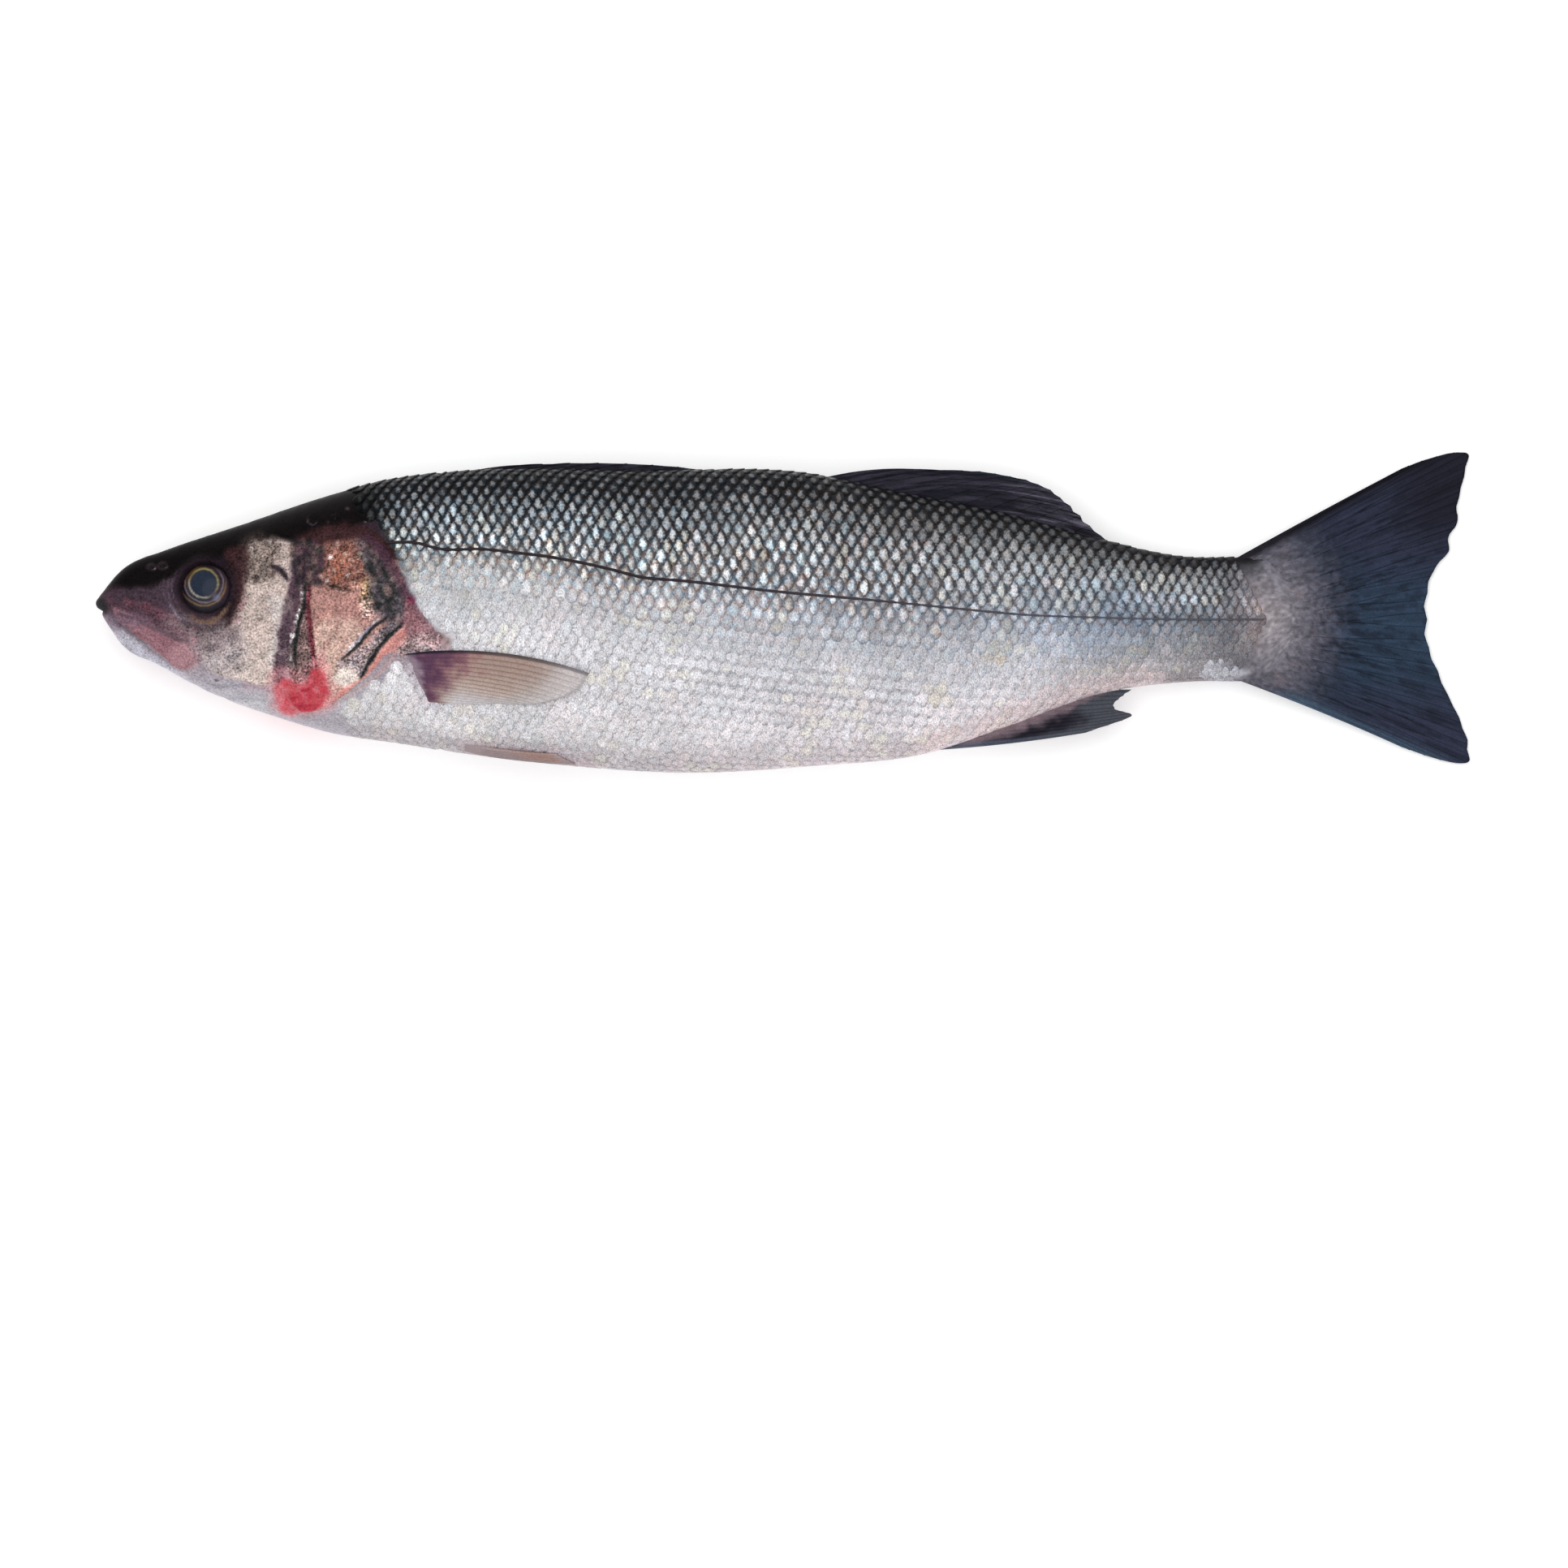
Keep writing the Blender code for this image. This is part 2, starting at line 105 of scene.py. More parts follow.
EYE_X, EYE_Y = -168.3, 7
EYE_RADIUS = 7.4
EYE_HALF_DEPTH = 4.6
EYE_STANDS_OUT = 1.5


def smooth_curve(points: Points, at) -> Array:
    """Height of a smooth line through points at each x of at.

    Args:
        points: (x, y) pairs in order of x.
        at: where to read the line; beyond the ends it stays level.

    Returns:
        One y for each x.
    """
    known = np.array(points, float)
    x, y = known[:, 0], known[:, 1]
    slope = np.gradient(y, x)
    at = np.clip(np.asarray(at, float), x[0], x[-1])
    span = np.clip(np.searchsorted(x, at) - 1, 0, len(x) - 2)
    width = x[span + 1] - x[span]
    t = (at - x[span]) / width
    rise = t * t * (3 - 2 * t)
    bend_in = t * (1 - t) ** 2 * width
    bend_out = t * t * (t - 1) * width
    return y[span] * (1 - rise) + y[span + 1] * rise + slope[span] * bend_in + slope[span + 1] * bend_out


def smooth_path(points: Points, count: int, closed: bool = False) -> Array:
    """Smooth path through points.

    Args:
        points: the points to pass through.
        count: how many points the result has.
        closed: whether the path returns to its start.

    Returns:
        (count, 2) points, spread along the path.
    """
    known = np.array(points, float)
    if closed:
        known = np.vstack([known[-2:], known, known[:3]])
    step = np.linalg.norm(np.diff(known, axis=0), axis=1) ** 0.5
    along = np.concatenate([[0], np.cumsum(step)])
    start, end = (along[2], along[-3]) if closed else (along[0], along[-1])
    at = np.linspace(start, end, count, endpoint=not closed)
    return np.column_stack([smooth_curve(np.column_stack([along, known[:, axis]]), at) for axis in (0, 1)])


def smooth_step(low: float, high: float, value: Array) -> Array:
    """0 below low, 1 above high and a smooth rise in between."""
    t = np.clip((value - low) / (high - low), 0, 1)
    return t * t * (3 - 2 * t)


@dataclass(frozen=True)
class BodyShape:
    """The body's cross-sections: rounded, widest a little above half height, flattened where they rest."""

    power: float = SECTION_POWER
    widest: float = WIDEST_SHARE

    def section(self, x) -> tuple[Array, Array, Array, Array]:
        """Back height, belly height, half width and middle height of the section at x."""
        nose = np.clip((x - SNOUT_X) / SNOUT_ROUND, 0, 1)
        stump = np.clip((TRUNK_END_X - x) / TRUNK_END_ROUND, 0, 1)
        round_off = np.sqrt(nose * (2 - nose) * stump * (2 - stump))
        back, belly = smooth_curve(BACK_LINE, x), smooth_curve(BELLY_LINE, x)
        level = belly + self.widest * (back - belly)
        back = level + (back - level) * round_off
        belly = level + (belly - level) * round_off
        return back, belly, smooth_curve(HALF_WIDTH, x) * round_off, smooth_curve(MIDDLE_HEIGHT, x)

    def skin_point(self, x, angle) -> Array:
        """Point of the skin at x; angle 0 is the middle of the left flank and a right angle is the back."""
        back, belly, half_width, middle = self.section(x)
        level = belly + self.widest * (back - belly)
        rise, reach = np.sin(angle), np.cos(angle)
        rise = np.sign(rise) * np.abs(rise) ** (2 / self.power)
        reach = np.sign(reach) * np.abs(reach) ** (2 / self.power)
        y = level + np.where(rise > 0, back - level, level - belly) * rise
        return np.stack(np.broadcast_arrays(x, y, middle + half_width * reach), axis=-1)

    def skin_normal(self, x, angle) -> Array:
        """Outward direction of the skin at x and angle."""
        small_x, small_angle = 0.5, 0.02
        along = self.skin_point(x + small_x, angle) - self.skin_point(x - small_x, angle)
        around = self.skin_point(x, angle + small_angle) - self.skin_point(x, angle - small_angle)
        normal = np.cross(along, around)
        return normal / np.maximum(np.linalg.norm(normal, axis=-1, keepdims=True), 1e-9)

    def flank_angle(self, x, y) -> Array:
        """Angle at which the left flank passes through height y."""
        back, belly, _, _ = self.section(x)
        level = belly + self.widest * (back - belly)
        share = np.clip((y - level) / np.where(y > level, back - level, level - belly), -0.97, 0.97)
        return np.arcsin(np.sign(share) * np.abs(share) ** (self.power / 2))

    def height_share(self, x, y) -> Array:
        """0 on the belly line and 1 on the back line."""
        back, belly = smooth_curve(BACK_LINE, x), smooth_curve(BELLY_LINE, x)
        return np.clip((y - belly) / (back - belly), 0, 1)


BODY = BodyShape()


class Grain:
    """Smooth random pattern over a plane, always the same for the same seed."""

    def __init__(self, seed: int) -> None:
        draw = np.random.default_rng(seed)
        self.value = draw.random(4096)
        self.shuffle = draw.permutation(4096)

    def at(self, x: Array, y: Array, size: float) -> Array:
        """Values of 0 to 1 that change over about size."""
        column, row = np.asarray(x) / size, np.asarray(y) / size
        left, low = np.floor(column), np.floor(row)
        u, v = column - left, row - low
        u, v = u * u * (3 - 2 * u), v * v * (3 - 2 * v)
        left, low = left.astype(int), low.astype(int)

        def corner(right: int, up: int) -> Array:
            """Random value at one corner of the square that holds each point."""
            return self.value[(self.shuffle[(left + right) & 4095] + low + up) & 4095]

        below = corner(0, 0) * (1 - u) + corner(1, 0) * u
        above = corner(0, 1) * (1 - u) + corner(1, 1) * u
        return below * (1 - v) + above * v

    def layered(self, x: Array, y: Array, size: float, layers: int = 3) -> Array:
        """Several sizes of the pattern added together, still 0 to 1."""
        total, weight = np.zeros(np.shape(x)), 0
        for layer in range(layers):
            share = 0.5**layer
            total = total + share * self.at(x + 31.7 * layer, y - 17.3 * layer, size * share)
            weight += share
        return total / weight


def near_line(x: Array, y: Array, line: Array, closed: bool) -> tuple[Array, Array]:
    """How far each point is from a line.

    Args:
        x: first coordinate of the points.
        y: second coordinate of the points.
        line: (n, 2) points of the line.
        closed: whether the last point joins the first.

    Returns:
        The distance, and the share of the line's length at which it is nearest.
    """
    ends = np.roll(line, -1, axis=0)
    starts = line
    if not closed:
        starts, ends = line[:-1], line[1:]
    length = np.linalg.norm(ends - starts, axis=1)
    passed = np.concatenate([[0], np.cumsum(length)])
    best = np.full(x.shape, np.inf)
    share = np.zeros(x.shape)
    for start, end, span, before in zip(starts, ends, length, passed):
        run = (end - start) / max(span, 1e-9)
        t = np.clip((x - start[0]) * run[0] + (y - start[1]) * run[1], 0, span)
        distance = np.hypot(x - start[0] - t * run[0], y - start[1] - t * run[1])
        nearer = distance < best
        best = np.where(nearer, distance, best)
        share = np.where(nearer, (before + t) / passed[-1], share)
    return best, share


def inside_line(x: Array, y: Array, line: Array) -> Array:
    """Whether each point is inside a closed line."""
    inside = np.zeros(x.shape, bool)
    for (x0, y0), (x1, y1) in zip(line, np.roll(line, -1, axis=0)):
        if y0 == y1:
            continue
        crosses = (y0 > y) != (y1 > y)
        inside ^= crosses & (x < (x1 - x0) * (y - y0) / (y1 - y0) + x0)
    return inside


@dataclass(frozen=True)
class Area:
    """A closed shape over the flank with soft and ragged edges.

    Args:
        outline: points that the smooth outline passes through.
        soft: width of the soft edge.
        ragged: how far noise moves the edge.
    """

    outline: Points
    soft: float = 1.0
    ragged: float = 0.4

    def mask(self, x: Array, y: Array, grain: Grain) -> Array:
        """1 inside, 0 outside and a soft step at the edge."""
        line = smooth_path(self.outline, 6 * len(self.outline), closed=True)
        distance, _ = near_line(x, y, line, closed=True)
        signed = np.where(inside_line(x, y, line), distance, -distance)
        signed = signed + self.ragged * (2 * grain.layered(x, y, 1.6 + 2 * self.ragged) - 1)
        return smooth_step(-self.soft / 2, self.soft / 2, signed)

    def reach(self) -> float:
        """How far beyond its outline the shape can show."""
        return self.soft + self.ragged


@dataclass(frozen=True)
class Band:
    """A line of some width along the flank.

    Args:
        outline: points that the smooth line passes through.
        width: width in the middle.
        soft: width of the soft edge.
        ends: width at the ends as a share of the middle's.
        ragged: how far noise moves the edge.
    """

    outline: Points
    width: float
    soft: float = 0.5
    ends: float = 0.3
    ragged: float = 0.15

    def mask(self, x: Array, y: Array, grain: Grain) -> Array:
        """1 on the line, 0 away from it."""
        line = smooth_path(self.outline, 5 * len(self.outline))
        distance, share = near_line(x, y, line, closed=False)
        half = 0.5 * self.width * (self.ends + (1 - self.ends) * np.sin(math.pi * share) ** 0.7)
        half = half + self.ragged * (2 * grain.layered(x, y, 1.3) - 1)
        return smooth_step(-self.soft / 2, self.soft / 2, half - distance)

    def reach(self) -> float:
        """How far beyond its line the band can show."""
        return self.width + self.soft + self.ragged


class Tone(Enum):
    """Paint tones as the eye sees them, red, green and blue of 255."""

    CROWN = (13, 9, 10)
    LORES = (66, 52, 62)
    RED_SIDE = (84, 54, 64)
    JAW_WHITE = (182, 182, 194)
    JAW_CYAN = (150, 186, 198)
    JAW_EDGE = (128, 128, 140)
    LIP_GREY = (112, 88, 102)
    LIP_CRIMSON = (140, 98, 108)
    LIP_PALE = (164, 125, 131)
    THROAT_PINK = (184, 152, 162)
    CHEEK_OLIVE = (104, 92, 86)
    CHEEK_BEIGE = (200, 183, 175)
    CHEEK_GREY = (150, 142, 148)
    CHEEK_WHITE = (212, 208, 210)
    CHEEK_PINK = (178, 128, 136)
    GROOVE = (76, 54, 67)
    RIDGE = (120, 104, 108)
    DARK_LINE = (60, 38, 44)
    BLACK_GREEN = (30, 34, 34)
    MAROON = (54, 32, 34)
    ORANGE = (122, 80, 70)
    BRIGHT_ORANGE = (168, 97, 74)
    SALMON = (184, 138, 128)
    SALMON_DARK = (160, 116, 112)
    OLIVE = (150, 140, 84)
    WHITE = (224, 220, 222)
    TEAL = (66, 62, 70)
    LAVENDER = (172, 166, 190)
    GREY_GREEN = (150, 142, 148)
    CREAM = (240, 226, 215)
    MEMBRANE = (222, 146, 138)
    EDGE_PINK = (190, 150, 146)
    CRIMSON = (116, 42, 70)
    BLOOD = (188, 60, 72)
    BLOOD_DARK = (150, 22, 46)
    BLOOD_PALE = (206, 134, 140)
    SHOULDER = (140, 98, 104)
    SHOULDER_PALE = (174, 148, 149)
    EYELID = (26, 19, 25)
    EYE_TAN = (120, 94, 74)
    FOLD = (158, 150, 172)
    RED_SPOT = (128, 74, 84)
    UNDER_EYE = (122, 106, 110)
    DARK_BROWN = (58, 44, 42)
    WARM_BROWN = (142, 120, 108)
    SALMON_PALE = (206, 176, 163)
    PLUM = (70, 46, 60)
    GROOVE_DARK = (58, 42, 52)
    STRIP = (96, 80, 80)
    MAROON_RED = (96, 40, 50)


def to_linear(colour: Array, facing_up: Array | float = 1) -> Array:
    """Surface colour for a tone of 0 to 255, allowing for the studio's light.

    Args:
        colour: (n, 3) tones.
        facing_up: height of each point's outward direction, 1 where it faces up.

    Returns:
        (n, 3) linear colours.
    """
    share = np.clip(colour / 255, 0, 1)
    linear = np.where(share <= 0.04045, share / 12.92, ((share + 0.055) / 1.055) ** 2.4)
    light = SKY_LIGHT + LAMP_LIGHT * np.clip(np.atleast_1d(facing_up), 0, 1)
    return np.minimum(linear / light[:, None], 0.9)


def tone_ramp(share: Array, stops: Sequence[tuple[float, tuple[float, float, float]]]) -> Array:
    """Tone at each share of a ramp.

    Args:
        share: where to read the ramp.
        stops: (position, tone) pairs in order.

    Returns:
        (n, 3) tones of 0 to 255.
    """
    places = [place for place, _ in stops]
    tones = np.array([tone for _, tone in stops])
    return np.stack([np.interp(share, places, tones[:, band]) for band in range(3)], axis=-1)


class Canvas:
    """Colour, wetness and height over the points of a skin, filled in shape by shape."""

    def __init__(self, x: Array, y: Array, base: Array, wander: float = 0.35) -> None:
        self.grain = Grain(SEED)
        self.x = x + wander * (2 * self.grain.layered(x, y, 2.2) - 1)
        self.y = y + wander * (2 * self.grain.layered(x + 400, y, 2.2) - 1)
        self.colour = np.array(base, float)
        self.wet = np.zeros(len(x))
        self.grit = np.zeros(len(x))
        self.height = np.zeros(len(x))

    def cover(self, shape: Area | Band) -> tuple[Array, Array]:
        """Indices of the points that a shape reaches, and its mask there."""
        line = np.array(shape.outline, float)
        low, high = line.min(axis=0) - shape.reach() - 2, line.max(axis=0) + shape.reach() + 2
        near = (self.x > low[0]) & (self.x < high[0]) & (self.y > low[1]) & (self.y < high[1])
        index = np.flatnonzero(near)
        return index, shape.mask(self.x[index], self.y[index], self.grain)

    def paint(
        self, shape: Area | Band, tone: Enum, strength: float = 1.0, mottle: float = 0.0, wet: float = 0.0,
        grit: float | None = None,
    ) -> None:
        """Lays a tone over a shape.

        Args:
            shape: where.
            tone: what colour.
            strength: how much of the paint below it hides.
            mottle: how much noise thins it in spots.
            wet: how glossy it becomes.
            grit: how strongly fine dark and light specks show there.
        """
        index, mask = self.cover(shape)
        x, y = self.x[index], self.y[index]
        spots = 1 - mottle * smooth_step(0.35, 0.65, self.grain.layered(x + 90, y, 1.7))
        cover = (mask * spots * strength)[:, None]
        self.colour[index] = self.colour[index] * (1 - cover) + np.array(tone.value) * cover
        if wet:
            self.wet[index] = self.wet[index] * (1 - mask) + wet * mask
        if grit is not None:
            self.grit[index] = self.grit[index] * (1 - mask) + grit * mask

    def finished(self) -> Array:
        """Tones with the fine specks worked in."""
        fine = self.grain.layered(self.x, self.y, 1, 2)
        coarse = self.grain.layered(self.x + 150, self.y, 3.4, 2)
        swing = 0.9 * (fine - 0.5) + 0.8 * (coarse - 0.5)
        return np.clip(self.colour * (1 + self.grit * swing)[:, None], 0, 250)

    def raise_up(self, shape: Area | Band, height: float) -> None:
        """Lifts the skin over a shape, or sinks it where height is below zero."""
        index, mask = self.cover(shape)
        self.height[index] += mask * height


def make_object(name: str, points: Array, faces: Sequence = (), edges: Sequence = ()) -> Item:
    """Smooth-shaded object from points in millimetres.

    Args:
        name: the object's name.
        points: (n, 3) positions in millimetres.
        faces: corner indices of each face, turned outwards.
        edges: end indices of each edge that belongs to no face.

    Returns:
        The object, linked to the scene.
    """
    mesh = bpy.data.meshes.new(name)
    mesh.from_pydata((np.asarray(points, float) * MM).tolist(), edges, [list(face) for face in faces])
    if faces:
        mesh.validate()
        mesh.shade_smooth()
    item = bpy.data.objects.new(name, mesh)
    bpy.context.scene.collection.objects.link(item)
    return item


def add_number(item: Item, name: str, values: Array, kind: str = "FLOAT", part: str = "value") -> None:
    """Stores one value of some kind for each point of the mesh under name."""
    flat = np.asarray(values, np.float32).ravel()
    item.data.attributes.new(name, kind, "POINT").data.foreach_set(part, flat)


def add_colour(item: Item, name: str, colour: Array) -> None:
    """Stores linear point colours on the mesh under name."""
    add_number(item, name, np.column_stack([colour, np.ones(len(colour))]), "FLOAT_COLOR", "color")


def add_vector(item: Item, name: str, values: Array) -> None:
    """Stores one vector for each point of the mesh under name."""
    add_number(item, name, values, "FLOAT_VECTOR", "vector")


def grid_faces(columns: int, rows: int, ring: bool) -> list[tuple[int, int, int, int]]:
    """Faces of a grid whose point number is column times rows plus row.

    Args:
        columns: how many columns of points.
        rows: how many points each column has.
        ring: whether each column closes on itself.

    Returns:
        Four corners for each face.
    """
    faces = []
    for column in range(columns - 1):
        for row in range(rows if ring else rows - 1):
            here, above = column * rows + row, column * rows + (row + 1) % rows
            faces.append((here, here + rows, above + rows, above))
    return faces


def tube_faces(count: int, around: int) -> list[tuple[int, ...]]:
    """Faces of count rings of points, closed by the two end points that follow them.

    Args:
        count: how many rings.
        around: how many points each ring has.

    Returns:
        Corners of each face, turned outwards.
    """
    faces = list(grid_faces(count, around, ring=True))
    first, tail = count * around, (count - 1) * around
    for row in range(around):
        above = (row + 1) % around
        faces += [(first, row, above), (first + 1, tail + above, tail + row)]
    return faces


@dataclass
class TubeSkin:
    """Skin from one station of the body to another, closed at both ends.

    Args:
        name: name of the piece.
        stations: x of each ring, in order.
        around: how many points each ring has.
    """

    name: str
    stations: Array
    around: int

    def ring_angles(self) -> Array:
        """Angles that share the widest ring's length equally."""
        fine = np.linspace(0, 2 * math.pi, 4001)
        widest = self.stations[np.argmax(self.stations)] if self.name == "head_skin" else -60
        ring = BODY.skin_point(np.full(fine.shape, widest), fine)
        length = np.concatenate([[0], np.cumsum(np.linalg.norm(np.diff(ring, axis=0), axis=1))])
        return np.interp(np.linspace(0, length[-1], self.around, endpoint=False), length, fine)

    def lay_out(self) -> tuple[Array, Array, Array]:
        """Points and outward directions of all rings, with the x and angle of each point."""
        angles = self.ring_angles()
        x = np.repeat(self.stations, self.around)
        angle = np.tile(angles, len(self.stations))
        return BODY.skin_point(x, angle), BODY.skin_normal(x, angle), x

    def build(self, lift: Array, points: Array, normals: Array) -> Item:
        """Closed tube, lifted along its directions and kept off the floor with room for the scales."""
        placed = points + normals * lift[:, None]
        placed[:, 2] = np.maximum(placed[:, 2], SCALE_ROOM)
        ends = [placed[: self.around].mean(axis=0), placed[-self.around :].mean(axis=0)]
        faces = tube_faces(len(self.stations), self.around)
        return make_object(self.name, np.vstack([placed, ends]), faces)


# Each ramp's first stop, at the belly line, is darker than the next: painted shade where the belly turns away
# from the light.
FLANK_FRONT_LIGHT = (
    (0.00, (162, 155, 159)), (0.09, (210, 207, 210)), (0.46, (228, 227, 232)), (0.58, (216, 217, 221)),
    (0.70, (202, 206, 207)), (0.78, (184, 192, 198)), (0.86, (142, 152, 159)), (0.93, (98, 102, 106)),
    (1.00, (50, 50, 54)),
)
FLANK_FRONT_NET = (
    (0.00, (128, 121, 125)), (0.09, (192, 189, 193)), (0.42, (192, 190, 195)), (0.56, (154, 151, 156)),
    (0.67, (112, 109, 112)), (0.74, (74, 76, 80)), (0.86, (38, 41, 45)), (1.00, (11, 11, 13)),
)
FLANK_REAR_LIGHT = (
    (0.00, (190, 180, 185)), (0.10, (222, 216, 221)), (0.36, (216, 216, 223)), (0.50, (190, 193, 201)),
    (0.65, (184, 188, 194)), (0.76, (174, 177, 181)), (0.86, (136, 137, 139)), (1.00, (60, 60, 62)),
)
FLANK_REAR_NET = (
    (0.00, (152, 142, 149)), (0.10, (204, 199, 204)), (0.34, (182, 182, 189)), (0.50, (130, 132, 140)),
    (0.65, (88, 89, 94)), (0.84, (52, 51, 53)), (1.00, (18, 18, 20)),
)
FRONT_TO_REAR = (-80, 45)

PINK_BAND = ((38, -41), (40, -37), (62, -29), (84, -21), (108, -17), (110, -21), (92, -25), (66, -34))
PELVIC_STRIP = ((-95, -37.5), (-80, -39), (-56, -43), (-54, -46), (-70, -45), (-92, -42))
BACK_BAND = ((90, 21.6), (104, 18.4), (117, 16.4), (130, 16.3), (142, 16.4))
STALK_WARM = ((134, 8), (141, 9), (146, 0), (145, -11), (139, -13), (136, -6), (137, 2))
STALK_CREAM = ((142.5, -2), (146, -3), (147, -8), (144.5, -11), (142.5, -8))
STALK_SILVER = ((122, -15.5), (130, -15.8), (136, -17.5), (131, -19.8), (122, -19.4))
STAINS = (
    (((-14, 16), (-8, 18), (-3, 15), (-7, 12), (-13, 12.6)), "BROWN_STAIN"),
    (((57, -11), (62, -10.5), (67, -13), (62, -15.4), (57, -14)), "YELLOW_STAIN"),
    (((41, -21), (45, -20.5), (49, -24), (46, -27), (41.5, -25)), "YELLOW_STAIN"),
)


class FlankTone(Enum):
    """Paint tones of marks on the flank, red, green and blue of 255."""

    BROWN_STAIN = (143, 122, 108)
    YELLOW_STAIN = (206, 192, 158)
    BAND_PINK = (206, 188, 190)
    PELVIC_MAUVE = (166, 150, 156)
    ROOT_PURPLE = (104, 80, 96)
    STALK_WARM = (168, 140, 140)
    STALK_CREAM = (214, 200, 184)
    STALK_SILVER = (206, 206, 216)
    BACK_BLACK = (26, 24, 28)


def flank_colours(x: Array, y: Array) -> tuple[Array, Array]:
    """Tones of the scales' light centres and of the dark net between them.

    Args:
        x: place along the fish.
        y: place across it.

    Returns:
        (n, 3) light tones and (n, 3) net tones.
    """
    share = BODY.height_share(x, y)
    rear = smooth_step(*FRONT_TO_REAR, x)[:, None]
    light = tone_ramp(share, FLANK_FRONT_LIGHT) * (1 - rear) + tone_ramp(share, FLANK_REAR_LIGHT) * rear
    net = tone_ramp(share, FLANK_FRONT_NET) * (1 - rear) + tone_ramp(share, FLANK_REAR_NET) * rear
    middle = smooth_step(0.15, 0.4, share) * smooth_step(0.85, 0.6, share)
    blue = (np.exp(-(((x - 96) / 26) ** 2)) * middle)[:, None]
    upper = smooth_step(0.5, 0.7, share)
    dull = (0.3 - 0.36 * upper) * smooth_step(65, 128, x)
    stalk = (1 - dull)[:, None] * (1 + blue * np.array((-0.04, 0.01, 0.06)))
    cloud = 1 + 0.16 * (Grain(SEED + 12).layered(x, y, 16) - 0.5)[:, None]
    light, net = light * stalk * cloud, net * stalk * cloud
    end = (smooth_step(120, 139, x) * smooth_step(1, 0.8, share))[:, None]
    root = tail_root_tone(x, y)
    light, net = light * (1 - 0.9 * end) + root * 0.9 * end, net * (1 - 0.9 * end) + 0.75 * root * end
    pale = (0.6 * smooth_step(-55, -95, x) * smooth_step(0.74, 0.62, share))[:, None]
    net = net * (1 - pale) + 0.94 * light * pale
    return mark_flank(x, y, light, 0.75), mark_flank(x, y, net, 0.6)


def paint_shoulder(canvas: Canvas) -> None:
    """Bare skin between the gill cover and the pectoral fin."""
    canvas.paint(Area(SHOULDER, 2, 1), Tone.SHOULDER, 0.97, mottle=0.15, grit=0.3)
    canvas.paint(Area(SHOULDER_LOW, 2, 1), Tone.SHOULDER_PALE, 0.9, mottle=0.3, grit=0.6)
    shade, line = ((-108.4, 2.2), (-104.6, -2), (-100.6, -6)), ((-100.4, -6.6), (-98, -8.6), (-95.8, -11.6))
    canvas.paint(Band(shade, 1.6, 1.2, 0.5, 0.4), Tone.PLUM, 0.45, mottle=0.3)
    canvas.paint(Band(line, 0.5, 0.4, 0.5), Tone.DARK_LINE, 0.8)


def mark_flank(x: Array, y: Array, base: Array, strength: float) -> Array:
    """Lays the flank's stains and bands over a base tone."""
    canvas = Canvas(x, y, base)
    canvas.paint(Area(PINK_BAND, 4, 1), FlankTone.BAND_PINK, 0.8, mottle=0.2)
    canvas.paint(Area(PELVIC_STRIP, 4, 0.8), FlankTone.PELVIC_MAUVE, 0.7, mottle=0.2)
    canvas.paint(Area(PECTORAL_ROOT, 5, 1.6), FlankTone.ROOT_PURPLE, 0.6, mottle=0.3)
    canvas.paint(Area(STALK_WARM, 4, 1), FlankTone.STALK_WARM, 0.25, mottle=0.4)
    canvas.paint(Area(STALK_CREAM, 1.5, 0.6), FlankTone.STALK_CREAM, strength, mottle=0.4)
    canvas.paint(Area(STALK_SILVER, 2, 0.6), FlankTone.STALK_SILVER, strength)
    canvas.paint(Band(BACK_BAND, 4, 2, 0.8), FlankTone.BACK_BLACK, 1.2 * strength)
    for outline, tone in STAINS:
        canvas.paint(Area(outline, 3.5, 1.2), FlankTone[tone], 0.55 * strength, mottle=0.5)
    return canvas.colour


LORES = ((-196, 4), (-189, 7.5), (-183, 8.5), (-177, 11), (-176.5, 2), (-179, -3.5), (-184, -2), (-192, 1.2))
SNOUT_SIDE = (
    (-197, 3), (-188, 3.5), (-181, 2), (-175, -3), (-172, -8), (-179, -6.5), (-187.5, -1.5), (-195, 1),
)
CROWN = (
    (-203, 3.5), (-195.3, 7), (-189.3, 7.3), (-183.3, 7.8), (-177.5, 11), (-172, 14.4), (-165, 15.6),
    (-158, 17.6), (-150, 20.4), (-139.5, 20.8), (-131, 23.6), (-122, 25.6), (-119, 31), (-118, 46),
    (-150, 45), (-200, 30),
)
BEHIND_EYE = ((-166, 16), (-156, 19), (-156.4, 8), (-158.5, 0), (-162, -3.5), (-165, -1), (-161, 6))
UNDER_EYE = (
    (-176, 0), (-168, -4), (-161, -3), (-158, -6), (-163, -11), (-170, -10.4), (-175, -6.5), (-180, -3),
)
COVER_TOP = (
    (-142.4, 20.6), (-138, 19.4), (-131, 19.6), (-124.5, 20.4), (-119.6, 17.6), (-115.4, 13.6),
    (-112.6, 16.4), (-116.2, 21.4), (-123, 25.4), (-131, 25.4), (-141, 22.4),
)
DARK_CORNER = (
    (-142.3, 20.4), (-134.6, 20), (-133.2, 15), (-134.4, 10), (-132.6, 8.4), (-137, 7.4), (-142, 7.6),
)
RIDGE_STRIP = (
    (-141.4, 8), (-137.6, 7.6), (-137.6, 0), (-137, -6), (-135.6, -14), (-136, -19.6), (-141, -20.4),
    (-144.6, -16), (-144.4, -9), (-142.8, -2),
)
SALMON_LOW = ((-135.8, -4), (-128, -2), (-121, -5), (-127, -13), (-131, -24), (-136, -20))
BLOOD_HAZE = (
    (-148, -16), (-143, -16), (-139, -16), (-133.6, -12), (-131, -20), (-130.4, -27), (-140, -31),
    (-149, -27),
)
JAW_LOW_EDGE = ((-198, -4), (-193, -9.4), (-187, -13.4), (-180, -17.2), (-172, -21.6), (-162, -25.6))
SCRIBBLE = ((-138.2, 27.6), (-138, 25.8), (-136.4, 25.4), (-135.6, 26.4))
